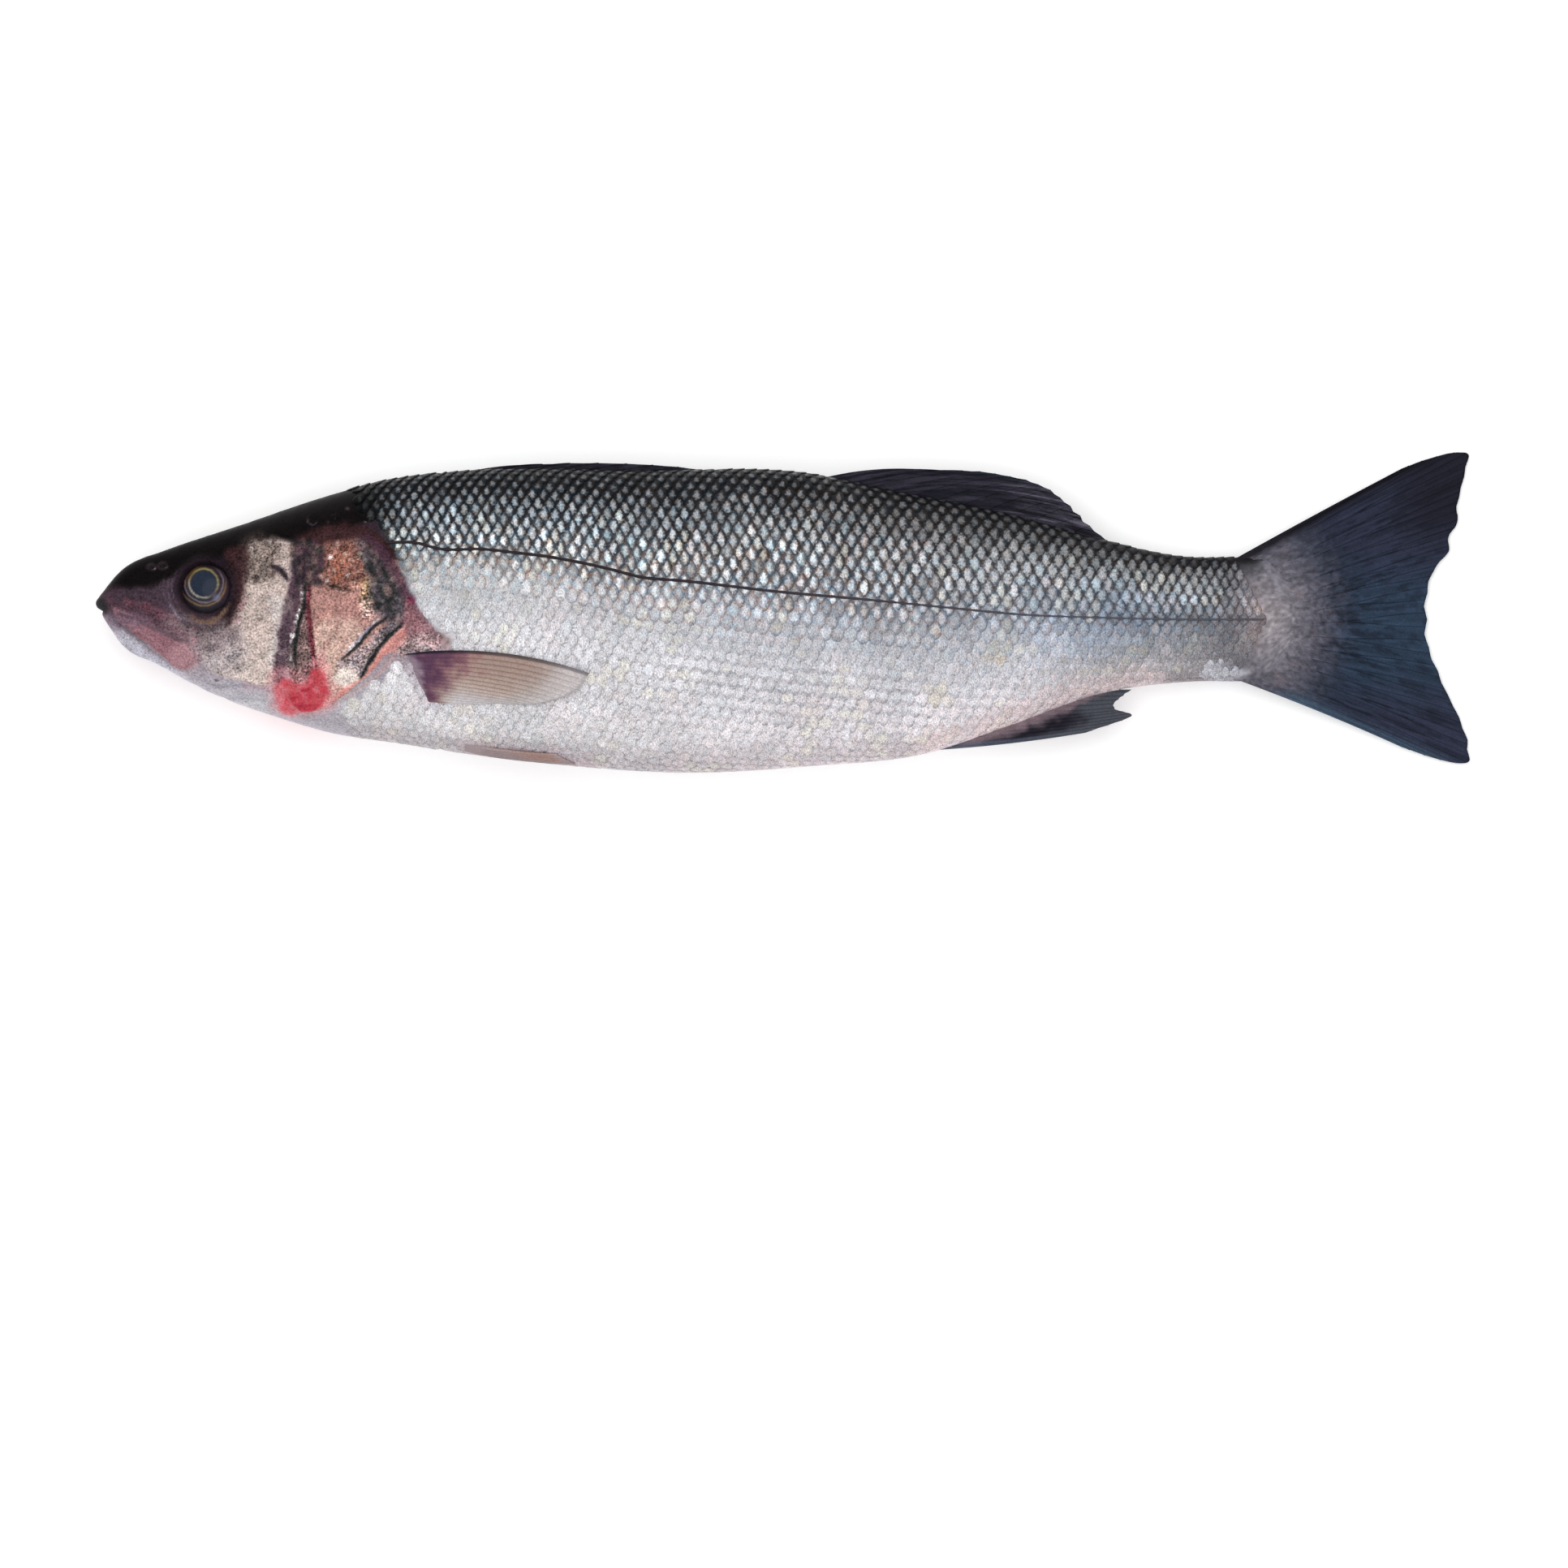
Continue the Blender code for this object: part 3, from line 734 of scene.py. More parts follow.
NAPE_GLINTS = ((-137, 26), (-128, 31), (-119, 33), (-117, 29), (-122, 26), (-130, 25))
NOSTRILS = ((-183.8, 13), (-180.6, 13.4))
LOWER_JAW = (
    (-200, -2), (-196, -1.8), (-192.4, -4.6), (-185.4, -10.8), (-179.5, -15.4), (-174, -19), (-170, -24),
    (-178, -26), (-192, -18),
)
MAXILLA_TOP = (
    (-193, -0.6), (-187.4, -2.2), (-183.8, -4.3), (-179.5, -6.5), (-175.5, -8), (-171.4, -8.8),
    (-169.9, -11),
)
MAXILLA_FOLD = ((-192, -3.2), (-186.6, -5.6), (-181, -9.4), (-176, -12.8))
THROAT_FOLD = ((-170, -17.4), (-168, -20.2), (-165, -22), (-160, -21.7), (-152, -22.4))
THROAT_FOLD_LOW = ((-172, -20.5), (-166, -24.6), (-156, -25.6), (-148, -26.4))
CHEEK_FRONT_BAND = (
    (-162, 18), (-156, 18.6), (-156.2, 8), (-158.6, -1), (-162.5, -5), (-161.4, 0), (-159.4, 6),
)
CHEEK_TOP = ((-157, 20.4), (-147, 20.8), (-146, 15), (-150, 9), (-156.5, 10))
CHEEK_LOW = ((-171, -8), (-164, -5), (-158, -7), (-157, -16), (-163, -18), (-170, -13.5))
CHEEK_PALE = ((-149.5, 4), (-144.5, 3), (-144, -6), (-146.5, -18), (-149.5, -15), (-148.5, -5))
CHEEK_NICK = ((-148.9, 13.3), (-146.9, 12.6), (-145.2, 10.9), (-144.2, 9))
GROOVE_LINE = (
    (-139.9, 20), (-140.4, 14), (-141.8, 8), (-143.4, 1), (-145, -7), (-146.1, -14), (-146.8, -19.5),
)
RIDGE_LINE = ((-140.2, 7.7), (-140.5, 2), (-141.9, -3), (-143, -8), (-143.4, -13), (-142.6, -17.5))
RIDGE_SHADE = ((-139.1, 7.6), (-139.3, 2), (-140.7, -3), (-141.7, -8), (-142, -13), (-141, -17.5))
INNER_LINE = ((-137.8, 7.5), (-138, 3), (-137.5, -4.6), (-136.5, -12.4), (-135.2, -16.8))
OPERCLE_ORANGE = (
    (-134, 18), (-128, 19.6), (-122.5, 17.6), (-121.6, 11), (-124, 6.6), (-129, 5.6), (-133.4, 8),
)
TEAL_BLOTCH = (
    (-124, 20.4), (-118.5, 18), (-113.5, 12), (-109.8, 5), (-109.4, -1), (-113, -3), (-118, -1),
    (-120.4, 6), (-121.6, 13),
)
CREASE_LINE = ((-115.4, -1.6), (-119.6, -5), (-123.6, -9.4), (-128.2, -13.6))
CREASE_HIGHLIGHT = ((-116, -0.6), (-119.9, -4.1), (-123.9, -8.4), (-127.9, -12.2))
GREY_GREEN_BAND = (
    (-114, -3), (-110.6, -3.4), (-116, -9.4), (-122.6, -19), (-127, -21), (-129.5, -15.4), (-121, -9),
)
REAR_EDGE_LINE = (
    (-121.9, 21.9), (-118, 19.3), (-114.7, 14.6), (-111.8, 10.3), (-109.7, 5.6), (-107.9, 2), (-108.2, -1.2),
    (-110.4, -3.1),
)
LOWER_EDGE_LINE = ((-110.4, -3.1), (-116.2, -8.8), (-119.6, -13.6), (-122.7, -19))
MEMBRANE = (
    (-110.4, -4.4), (-108.6, -7.4), (-111.2, -11), (-115.5, -12.6), (-119.8, -17.1), (-127.3, -23.4),
    (-133, -27), (-128, -21.8), (-122.9, -19.6), (-116.4, -9.6),
)
EDGE_LINE = ((-108.6, -7.6), (-112.4, -12), (-118, -18.4), (-125, -23.6), (-132, -27.8))
BLOOD = (
    (-146.8, -20.6), (-144, -20.4), (-140.6, -21.2), (-138.2, -19.9), (-136.4, -16), (-134.3, -17),
    (-132, -21.8), (-132, -25), (-135.1, -27.7), (-141.4, -29.7), (-146.4, -28.1), (-147.6, -24.2),
)
SHOULDER = ((-109, 2.4), (-106.4, 1), (-101.4, -4.6), (-98.6, -9), (-104, -9.6), (-109.6, -7.4), (-110, -2.6))
SHOULDER_LOW = ((-110.4, -8), (-105, -6.4), (-99, -6.6), (-95, -11), (-97, -13), (-105, -13.4), (-112, -12))
PECTORAL_ROOT = ((-109.6, -13), (-96, -12), (-93, -20), (-101, -27.6), (-104.4, -25), (-107.4, -19))
EYE_CRESCENT = ((-172.6, -1), (-170, -2.6), (-167, -3), (-163.6, -1.2), (-161, 2.4))
EYE_FOLD = ((-178.8, 3), (-177.4, 0.6), (-175.8, -1.5), (-173, -2.5))
EYE_SHADE = ((-176.6, 1.4), (-173.6, -3), (-168, -5), (-162.6, -3.4), (-159.6, 0.6))


def spot(x: float, y: float, wide: float, tall: float, soft: float, ragged: float) -> Area:
    """Elliptical area about a point; wide and tall are its radii."""
    turns = [2 * math.pi * step / 10 for step in range(10)]
    return Area(tuple((x + wide * math.cos(turn), y + tall * math.sin(turn)) for turn in turns), soft, ragged)


TAIL_ROOT_CENTRE = (139, -2)
TAIL_ROOT_RAMP = (
    (0, (166, 157, 160)), (5, (154, 147, 153)), (10, (130, 126, 135)), (15, (102, 100, 111)),
    (21, (70, 73, 87)), (27, (54, 59, 75)), (34, (44, 54, 70)),
)


def tail_root_tone(x: Array, y: Array) -> Array:
    """Mottled tones from the tail stalk into the tail fin, darker away from the stalk's middle."""
    grain = Grain(SEED + 20)
    away = np.hypot(x - TAIL_ROOT_CENTRE[0], (y - TAIL_ROOT_CENTRE[1]) * 0.78)
    mottle = grain.layered(x, y, 3.2) - 0.5
    fine = grain.layered(x + 90, y, 0.9, 2) - 0.5
    return tone_ramp(away + 3.5 * mottle, TAIL_ROOT_RAMP) * (0.95 + 0.6 * fine)[..., None]


HEAD_RAMP = (
    (-31, (164, 158, 166)), (-27, (182, 179, 185)), (-20, (168, 161, 170)), (-14, (160, 145, 153)),
    (-8, (138, 120, 126)), (-3, (100, 80, 88)), (4, (70, 52, 62)), (12, (50, 38, 46)),
)
HEAD_END = -98.0
TRUNK_START = -100.5


class TreeMaker:
    """Adds nodes to a node tree and joins them, so that each tree reads as a list of steps."""

    def __init__(self, tree: bpy.types.NodeTree) -> None:
        self.tree = tree

    def add(self, kind: str, inputs: dict | None = None, **settings) -> bpy.types.Node:
        """Adds a node.

        Args:
            kind: the node's type name.
            inputs: socket name or number to a value or to the output to join.
            settings: the node's own options.

        Returns:
            The node.
        """
        node = self.tree.nodes.new(kind)
        for name, value in settings.items():
            setattr(node, name, value)
        self.fill(node, inputs or {})
        return node

    def fill(self, node: bpy.types.Node, inputs: dict) -> None:
        """Joins outputs to a node's inputs, or sets their values."""
        for key, value in inputs.items():
            if isinstance(value, Socket):
                self.tree.links.new(value, node.inputs[key])
            else:
                node.inputs[key].default_value = value

    def sum_of(self, operation: str, first, second=0, third=0) -> Socket:
        """Result of one arithmetic step; each value is a number or an output."""
        return self.add("ShaderNodeMath", {0: first, 1: second, 2: third}, operation=operation).outputs[0]

    def scaled(self, vector: Socket, factor: Socket) -> Socket:
        """A vector or colour times a number."""
        return self.add("ShaderNodeVectorMath", {0: vector, "Scale": factor}, operation="SCALE").outputs[0]

    def noise(self, vector: Socket, density, detail: float = 2, rough: float = 0.5) -> Socket:
        """Smooth noise of 0 to 1."""
        inputs = {"Vector": vector, "Scale": density, "Detail": detail, "Roughness": rough}
        return self.add("ShaderNodeTexNoise", inputs).outputs["Fac"]

    def hand_out(self, shape: Socket, material: Socket, name: str) -> None:
        """Ends a Geometry Nodes group: shades the shape smooth, sets its material and gives it out."""
        smooth = self.add("GeometryNodeSetShadeSmooth", {"Geometry": shape}).outputs[0]
        dressed = self.add("GeometryNodeSetMaterial", {"Geometry": smooth, "Material": material})
        self.add("NodeGroupOutput", {name: dressed.outputs[0]})

    def stored(self, name: str, part: str) -> Socket:
        """Output that reads a value stored on the mesh under name."""
        return self.add("ShaderNodeAttribute", attribute_name=name).outputs[part]

    def mixed(self, blend_type: str, share: Socket, first, second) -> Socket:
        """Two colours mixed by a share."""
        inputs = {"Factor": share, 6: first, 7: second}
        return self.add("ShaderNodeMix", inputs, data_type="RGBA", blend_type=blend_type).outputs[2]


def start_group(name: str, kind: str, given: dict[str, tuple], results: dict[str, str]) -> TreeMaker:
    """Starts a node group.

    Args:
        name: the group's name.
        kind: the tree's type name.
        given: name of each input to its socket type and its default, None for no default.
        results: name of each output to its socket type.

    Returns:
        A maker for the group's tree.
    """
    tree = bpy.data.node_groups.new(name, kind)
    for label, (form, value) in given.items():
        socket = tree.interface.new_socket(label, in_out="INPUT", socket_type="NodeSocket" + form)
        if value is not None:
            socket.default_value = value
    for label, form in results.items():
        tree.interface.new_socket(label, in_out="OUTPUT", socket_type="NodeSocket" + form)
    return TreeMaker(tree)


def wet_grain_group() -> bpy.types.NodeTree:
    """Shader group that varies a paint colour in fine spots and gives roughness and height to match."""
    name = "wet_grain"
    if name in bpy.data.node_groups:
        return bpy.data.node_groups[name]
    inputs = {
        "Colour": ("Color", None), "Spot size": ("Float", 0.0006), "Spots": ("Float", 0.3),
        "Roughness": ("Float", 0.4), "Stretch": ("Float", 1),
    }
    results = {"Colour": "Color", "Roughness": "Float", "Height": "Float"}
    make = start_group(name, "ShaderNodeTree", inputs, results)
    given = make.add("NodeGroupInput").outputs
    place = make.add("ShaderNodeTexCoord").outputs["Object"]
    stretch = make.add("ShaderNodeCombineXYZ", {"X": given["Stretch"], "Y": 1, "Z": 1}).outputs[0]
    scaled = make.add("ShaderNodeVectorMath", {0: place, 1: stretch}, operation="MULTIPLY").outputs[0]
    density = make.sum_of("DIVIDE", 1, given["Spot size"])
    fine = make.noise(scaled, density, 3, 0.65)
    broad = make.noise(scaled, make.sum_of("MULTIPLY", density, 0.21))
    both = make.sum_of("MULTIPLY_ADD", fine, 0.8, make.sum_of("MULTIPLY", broad, 0.2))
    swing = make.sum_of("SUBTRACT", both, 0.5)
    factor = make.sum_of("MULTIPLY_ADD", make.sum_of("MULTIPLY", swing, given["Spots"]), 4, 1)
    bright = make.scaled(given["Colour"], make.sum_of("MAXIMUM", factor, 0.15))
    rough = make.sum_of("MULTIPLY_ADD", swing, 0.5, given["Roughness"])
    result = make.add("NodeGroupOutput", {"Colour": bright, "Roughness": rough, "Height": both})
    result.is_active_output = True
    return make.tree


def start_material(name: str) -> tuple[bpy.types.Material, TreeMaker]:
    """New material with nodes, and a maker for its tree."""
    material = bpy.data.materials.new(name)
    material.use_nodes = True
    return material, TreeMaker(material.node_tree)


def set_surface(make: TreeMaker, inputs: dict) -> None:
    """Joins or sets inputs of a material's surface node."""
    make.fill(make.tree.nodes["Principled BSDF"], inputs)


@dataclass(frozen=True)
class WetFinish:
    """Damp organic surface that shows the piece's own paint.

    Args:
        name: the material's name.
        roughness: middle roughness.
        specular: strength of plain reflections.
        spot_size: size of the fine spots in metres.
        spots: how strongly the spots change the colour.
        bump: how high the spots stand in metres.
        coat: clear wet layer where the piece's wet attribute is 1.
        stretch: above 1 the spots are shorter along X than across it.
    """

    name: str
    roughness: float = 0.42
    specular: float = 0.03
    spot_size: float = 0.0009
    spots: float = 0.6
    bump: float = 0.00006
    coat: float = 0.5
    stretch: float = 1.0

    def make(self) -> bpy.types.Material:
        """Builds the material."""
        material, make = start_material(self.name)
        spots = make.sum_of("MULTIPLY_ADD", make.stored("grit", "Fac"), 2.4, self.spots)
        inputs = {
            "Colour": make.stored("paint", "Color"), "Spot size": self.spot_size, "Spots": spots,
            "Roughness": self.roughness, "Stretch": self.stretch,
        }
        grain = make.add("ShaderNodeGroup", inputs, node_tree=wet_grain_group()).outputs
        bump = make.add("ShaderNodeBump", {"Height": grain["Height"], "Distance": self.bump, "Strength": 1})
        set_surface(make, {
            "Base Color": grain["Colour"], "Roughness": grain["Roughness"], "Normal": bump.outputs["Normal"],
            "Coat Weight": make.sum_of("MULTIPLY", make.stored("wet", "Fac"), self.coat),
            "Specular IOR Level": self.specular, "Coat Roughness": 0.12,
        })
        return material


def dress(item: Item, material: bpy.types.Material) -> None:
    """Gives the piece one material."""
    item.data.materials.clear()
    item.data.materials.append(material)


def hand_over(item: Item, slot: str, *nodes: str) -> None:
    """Hands over a finished piece: it rides on the root body and the CAD nodes that it stands for are hidden.
    """
    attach(item, "root")
    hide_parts(*nodes)
    LOG.info("%s: %d faces", item.name, len(item.data.polygons))


@dataclass
class HeadSkin:
    """Head with cheek, gill cover, jaws, eye sockets, nostrils and the shoulder behind the gill cover."""

    step: float = 0.5
    around: int = 400
    finish: WetFinish = WetFinish("head_skin_finish", spot_size=0.0006)
    item: Item | None = None

    def stations(self) -> Array:
        """x of each ring, close together at the snout, where the skin turns."""
        snout = SNOUT_X + np.array([0.03, 0.15, 0.4, 0.75, 1.2, 1.7])
        rest = np.arange(SNOUT_X + 2.2, HEAD_END + 0.01, self.step)
        return np.concatenate([snout, rest])

    def build(self) -> None:
        """Makes the skin with its relief and paint."""
        tube = TubeSkin("head_skin", self.stations(), self.around)
        points, normals, x = tube.lay_out()
        canvas = Canvas(x, points[:, 1], self.base_tone(x, points[:, 1]))
        for step in (
            self.shape_relief, self.paint_crown, self.paint_jaws, self.paint_cheek, self.paint_gill_cover,
            paint_shoulder, self.paint_eye_rim,
        ):
            step(canvas)
        tuck = 1.2 * smooth_step(HEAD_END - 3, HEAD_END, x)
        grain = 0.16 * (canvas.grain.layered(canvas.x, canvas.y, 2.4) - 0.5)
        self.item = tube.build(canvas.height + grain - tuck, points, normals)
        tones = canvas.finished()
        upward = np.concatenate([normals[:, 2], [0, 0]])
        add_colour(self.item, "paint", to_linear(np.vstack([tones, tones[:1], tones[-1:]]), upward))
        add_number(self.item, "wet", np.concatenate([canvas.wet, [0, 0]]))
        add_number(self.item, "grit", np.concatenate([canvas.grit, [0, 0]]))
        dress(self.item, self.finish.make())
        hand_over(self.item, "skin", "fish")

    def base_tone(self, x: Array, y: Array) -> Array:
        """Plain tones from throat to crown, before the shapes are laid over them."""
        head = tone_ramp(y, HEAD_RAMP)
        _, net = flank_colours(x, y)
        slant = 0.35 * np.clip(y - 6, 0, 40) - 0.45 * np.clip(-2 - y, 0, 40)
        behind = smooth_step(-112.5, -108.5, x + slant)[:, None]
        return head * (1 - behind) + net * behind

    def shape_relief(self, canvas: Canvas) -> None:
        """Raises the plates and sinks the grooves, sockets and nostrils."""
        for shape, height in (
            (Area(CHEEK, 2, 0.2), 0.5), (Area(GILL_COVER, 1.1, 0.2), 1), (Area(MAXILLA, 1, 0.1), 0.6),
            (Band(GROOVE_LINE, 5, 3.5, 0.6), -0.7), (Band(RIDGE_LINE, 1.6, 1.2, 0.5), 0.5),
            (Band(INNER_LINE, 1, 1, 0.4), -0.4), (Band(CREASE_LINE, 1.2, 1.4, 0.4), -0.6),
            (Band(LOWER_EDGE_LINE, 0.8, 0.8, 0.4), -0.45), (Band(MOUTH_LINE, 0.9, 0.7, 0.9), -1.1),
            (Band(THROAT_FOLD, 0.9, 1.4, 0.3), -0.35), (Band(THROAT_FOLD_LOW, 0.9, 1.4, 0.3), -0.35),
            (spot(EYE_X, EYE_Y, 9, 9.2, 2.4, 0.1), 0.5), (spot(EYE_X, EYE_Y, 7.2, 7.2, 1.2, 0), -3.2),
        ):
            canvas.raise_up(shape, height)
        for centre in NOSTRILS:
            canvas.raise_up(spot(*centre, 1.3, 1.1, 0.8, 0.05), 0.25)
            canvas.raise_up(spot(*centre, 0.75, 0.6, 0.5, 0.05), -1.2)

    def paint_crown(self, canvas: Canvas) -> None:
        """Black top of the head, the reddish side of the snout and the nostrils."""
        paint = canvas.paint
        paint(Area(SNOUT_SIDE, 3, 1), Tone.RED_SIDE, 0.9, mottle=0.35, grit=0.24)
        paint(Area(LORES, 3, 1), Tone.LORES, 0.9, mottle=0.25, grit=0.1)
        paint(Area(BEHIND_EYE, 3, 1), Tone.EYELID, 0.85, mottle=0.2, grit=0.25)
        red = Band(((-191, 2.4), (-185, 1.2), (-179, -2), (-173.6, -6.4)), 2.4, 2.4, 0.5)
        paint(red, Tone.RED_SPOT, 0.6, mottle=0.6, grit=0.2)
        for lift, strength in ((0, 0.3), (2.2, 0.25), (4.4, 0.2)):
            line = ((-194, 4 + lift), (-187, 3.6 + lift), (-181, 1.4 + lift), (-178.6, -1 + lift))
            paint(Band(line, 0.8, 1.2, 0.3), Tone.EYELID, strength, mottle=0.6)
        self.freckle(canvas, SNOUT_SIDE, Tone.RED_SPOT, 22, 0.8, 0.35)
        paint(Area(CROWN, 2.4, 1), Tone.CROWN, 1, grit=0.12)
        paint(Band(SCRIBBLE, 0.4, 0.3, 0.5), Tone.LAVENDER, 0.3)
        # painted glints: small pale highlights scattered over the dark nape
        self.freckle(canvas, NAPE_GLINTS, Tone.SHOULDER_PALE, 34, 0.28, 0.3)
        for centre in NOSTRILS:
            paint(spot(*centre, 1.6, 1.3, 0.8, 0.2), Tone.LORES, 0.5)
            paint(spot(*centre, 0.8, 0.6, 0.4, 0.05), Tone.BLACK_GREEN)
            # a painted glint on the rim of each nostril
            paint(spot(centre[0] + 0.9, centre[1] - 0.5, 0.35, 0.3, 0.3, 0.05), Tone.SHOULDER_PALE, 0.7)

    def freckle(
        self, canvas: Canvas, outline: Points, tone: Tone, count: int, size: float, strength: float
    ) -> None:
        """Scatters small spots of a tone over the inside of an outline.

        Args:
            canvas: what to paint on.
            outline: the region.
            tone: colour of the spots.
            count: how many places are tried.
            size: middle radius of a spot.
            strength: how much of the paint below a spot hides.
        """
        draw = np.random.default_rng(SEED + count)
        line = smooth_path(outline, 4 * len(outline), closed=True)
        low, high = line.min(axis=0), line.max(axis=0)
        places = low + (high - low) * draw.random((count, 2))
        for place in places[inside_line(places[:, 0], places[:, 1], line)]:
            wide, tall = size * (0.5 + draw.random(2))
            canvas.paint(spot(*place, wide, tall, 0.5, 0.4), tone, strength)

    def glint(self, canvas: Canvas, line: Points, tone: Tone, count: int, size: float) -> None:
        """Scatters small wet highlights along a line."""
        draw = np.random.default_rng(SEED + 100 + count)
        path = smooth_path(line, 60)
        for step in draw.integers(2, 58, count):
            place = path[step] + 0.35 * (draw.random(2) - 0.5)
            wide, tall = size * (0.6 + 0.8 * draw.random(2))
            canvas.paint(spot(*place, wide, 1.4 * tall, 0.35, 0.2), tone, 0.85, wet=1)

    def paint_jaws(self, canvas: Canvas) -> None:
        """Lower jaw, upper jaw bone, mouth line and throat."""
        paint = canvas.paint
        paint(Area(LOWER_JAW, 2.4, 0.4), Tone.JAW_WHITE, 0.9, mottle=0.2, grit=0.08)
        paint(spot(-196.2, -3.2, 2.2, 1.6, 1.6, 0.3), Tone.JAW_CYAN, 0.6)
        paint(Area(MAXILLA, 1.4, 0.3), Tone.LIP_CRIMSON, 0.97, wet=0.5, grit=0.08)
        paint(spot(-191.6, -2.6, 6.4, 2.4, 4, 0.6), Tone.LIP_GREY, 0.85, grit=0.08)
        paint(spot(-174, -12.6, 4.6, 3.8, 4, 0.5), Tone.LIP_PALE, 0.9, grit=0.05)
        paint(Band(MAXILLA_TOP, 1.1, 0.9, 0.3), Tone.LORES, 0.6)
        paint(Band(MAXILLA_FOLD, 0.8, 1, 0.3), Tone.LIP_PALE, 0.5)
        paint(Band(MOUTH_LINE, 0.7, 0.7, 0.5), Tone.JAW_EDGE, 0.6)
        paint(spot(-199, 1.6, 2.6, 2.6, 1.6, 0.3), Tone.BLACK_GREEN, 0.75)
        paint(Band(JAW_LOW_EDGE, 1.2, 1, 0.5), Tone.JAW_EDGE, 0.5)
        paint(Band(THROAT_FOLD, 0.9, 1.2, 0.2), Tone.JAW_EDGE, 0.45)
        paint(Band(THROAT_FOLD_LOW, 0.9, 1.2, 0.2), Tone.JAW_EDGE, 0.4)
        paint(spot(-150, -21.8, 7.5, 1.5, 2, 0.6), Tone.THROAT_PINK, 0.6, mottle=0.3)
        paint(spot(-165, -19.8, 0.6, 0.4, 0.4, 0.1), Tone.DARK_LINE, 0.5)

    def paint_cheek(self, canvas: Canvas) -> None:
        """Speckled cheek with its dark front band and comma-shaped nick."""
        paint = canvas.paint
        paint(Area(CHEEK, 2, 1), Tone.CHEEK_BEIGE, 0.95, mottle=0.1, grit=0.2)
        paint(Area(CHEEK_TOP, 5, 1.6), Tone.CHEEK_OLIVE, 0.8, mottle=0.3, grit=0.5)
        paint(Area(CHEEK_LOW, 6, 1.6), Tone.CHEEK_GREY, 0.75, mottle=0.3, grit=0.3)
        paint(Area(UNDER_EYE, 5, 1.4), Tone.UNDER_EYE, 0.85, mottle=0.2, grit=0.25)
        paint(Area(CHEEK_PALE, 3, 0.8), Tone.CHEEK_WHITE, 0.5, mottle=0.3)
        paint(Area(CHEEK_FRONT_BAND, 2.2, 0.9), Tone.MAROON, 0.85, mottle=0.2, grit=0.3)
        self.freckle(canvas, CHEEK_TOP, Tone.DARK_BROWN, 70, 0.45, 0.4)
        self.freckle(canvas, CHEEK, Tone.WARM_BROWN, 120, 0.45, 0.22)
        self.freckle(canvas, CHEEK, Tone.WHITE, 100, 0.4, 0.25)
        for centre in ((-171.5, -5), (-171, -8.2), (-156.5, 4), (-157.5, 1.6), (-158.8, -2.4)):
            paint(spot(*centre, 0.9, 1.3, 1, 0.6), Tone.CHEEK_PINK, 0.6, mottle=0.4)
        paint(Band(CHEEK_NICK, 1.9, 0.6, 0.35), Tone.GROOVE_DARK, 0.95)
        paint(Band(CHEEK_NICK, 0.8, 0.4, 0.35), Tone.BLACK_GREEN, 0.9)
        paint(Band(((-148.5, -20.3), (-145.6, -19.4)), 0.7, 0.4, 0.6), Tone.DARK_LINE, 0.8)

    def paint_gill_cover(self, canvas: Canvas) -> None:
        """Groove, ridge, coloured fields, crease, soft rear edge and the blood at the throat."""
        paint = canvas.paint
        paint(Area(GILL_COVER, 0.9, 0.5), Tone.SALMON, 0.95, mottle=0.15, grit=0.22)
        paint(Area(SALMON_LOW, 4, 1), Tone.SALMON_PALE, 0.9, mottle=0.25, grit=0.22)
        paint(Area(COVER_TOP, 2.6, 1.2), Tone.MAROON, 0.97, grit=0.2)
        paint(Area(OPERCLE_ORANGE, 4, 1.6), Tone.ORANGE, 0.9, mottle=0.3, grit=0.5)
        paint(Band(((-127.5, 18.6), (-128.4, 14), (-130.4, 8.6)), 3, 2, 0.5, 0.8), Tone.BRIGHT_ORANGE, 0.5,
                     mottle=0.5)
        paint(spot(-121, 5.4, 2, 4, 2.4, 1.4), Tone.OLIVE, 0.5, mottle=0.5, grit=0.9)
        paint(spot(-120.6, 0.6, 2.4, 2.6, 2, 1), Tone.CREAM, 0.5, mottle=0.5, grit=0.9)
        paint(Area(TEAL_BLOTCH, 3, 2), Tone.TEAL, 0.92, mottle=0.3, grit=0.25)
        for line, wide in (
            (((-123, 17), (-119.4, 12), (-117.2, 6), (-113, -0.6)), 1.8),
            (((-119.6, 1.4), (-115.6, 3), (-111, 6.4)), 1.4),
            (((-121, 7.6), (-118.6, 4), (-116.4, -0.6)), 0.9),
            (((-116.4, 12.4), (-113.6, 7), (-112.4, 2)), 1),
        ):
            paint(Band(line, wide, 1, 0.4, 0.8), Tone.BLACK_GREEN, 0.85, mottle=0.3)
        for centre in ((-119.6, 9.6), (-115.2, 6.4), (-118.6, -0.6), (-113.8, 9.8), (-121.4, 3.4)):
            paint(spot(*centre, 0.9, 1.2, 1, 0.8), Tone.WARM_BROWN, 0.6, mottle=0.6)
        self.freckle(canvas, TEAL_BLOTCH, Tone.GREY_GREEN, 70, 0.5, 0.4)
        self.freckle(canvas, TEAL_BLOTCH, Tone.BLACK_GREEN, 50, 0.8, 0.45)
        self.freckle(canvas, OPERCLE_ORANGE, Tone.DARK_BROWN, 36, 0.5, 0.45)
        self.freckle(canvas, OPERCLE_ORANGE, Tone.SALMON_PALE, 30, 0.5, 0.5)
        self.stripe_flesh(canvas)
        paint(Area(GREY_GREEN_BAND, 2.4, 1.2), Tone.GREY_GREEN, 0.85, mottle=0.3, grit=0.8)
        paint(spot(-113.6, -5.2, 3, 2.2, 2.4, 1.2), Tone.TEAL, 0.8, mottle=0.3, grit=0.8)
        self.freckle(canvas, GREY_GREEN_BAND, Tone.BLACK_GREEN, 46, 0.5, 0.5)
        self.freckle(canvas, GREY_GREEN_BAND, Tone.LAVENDER, 30, 0.5, 0.4)
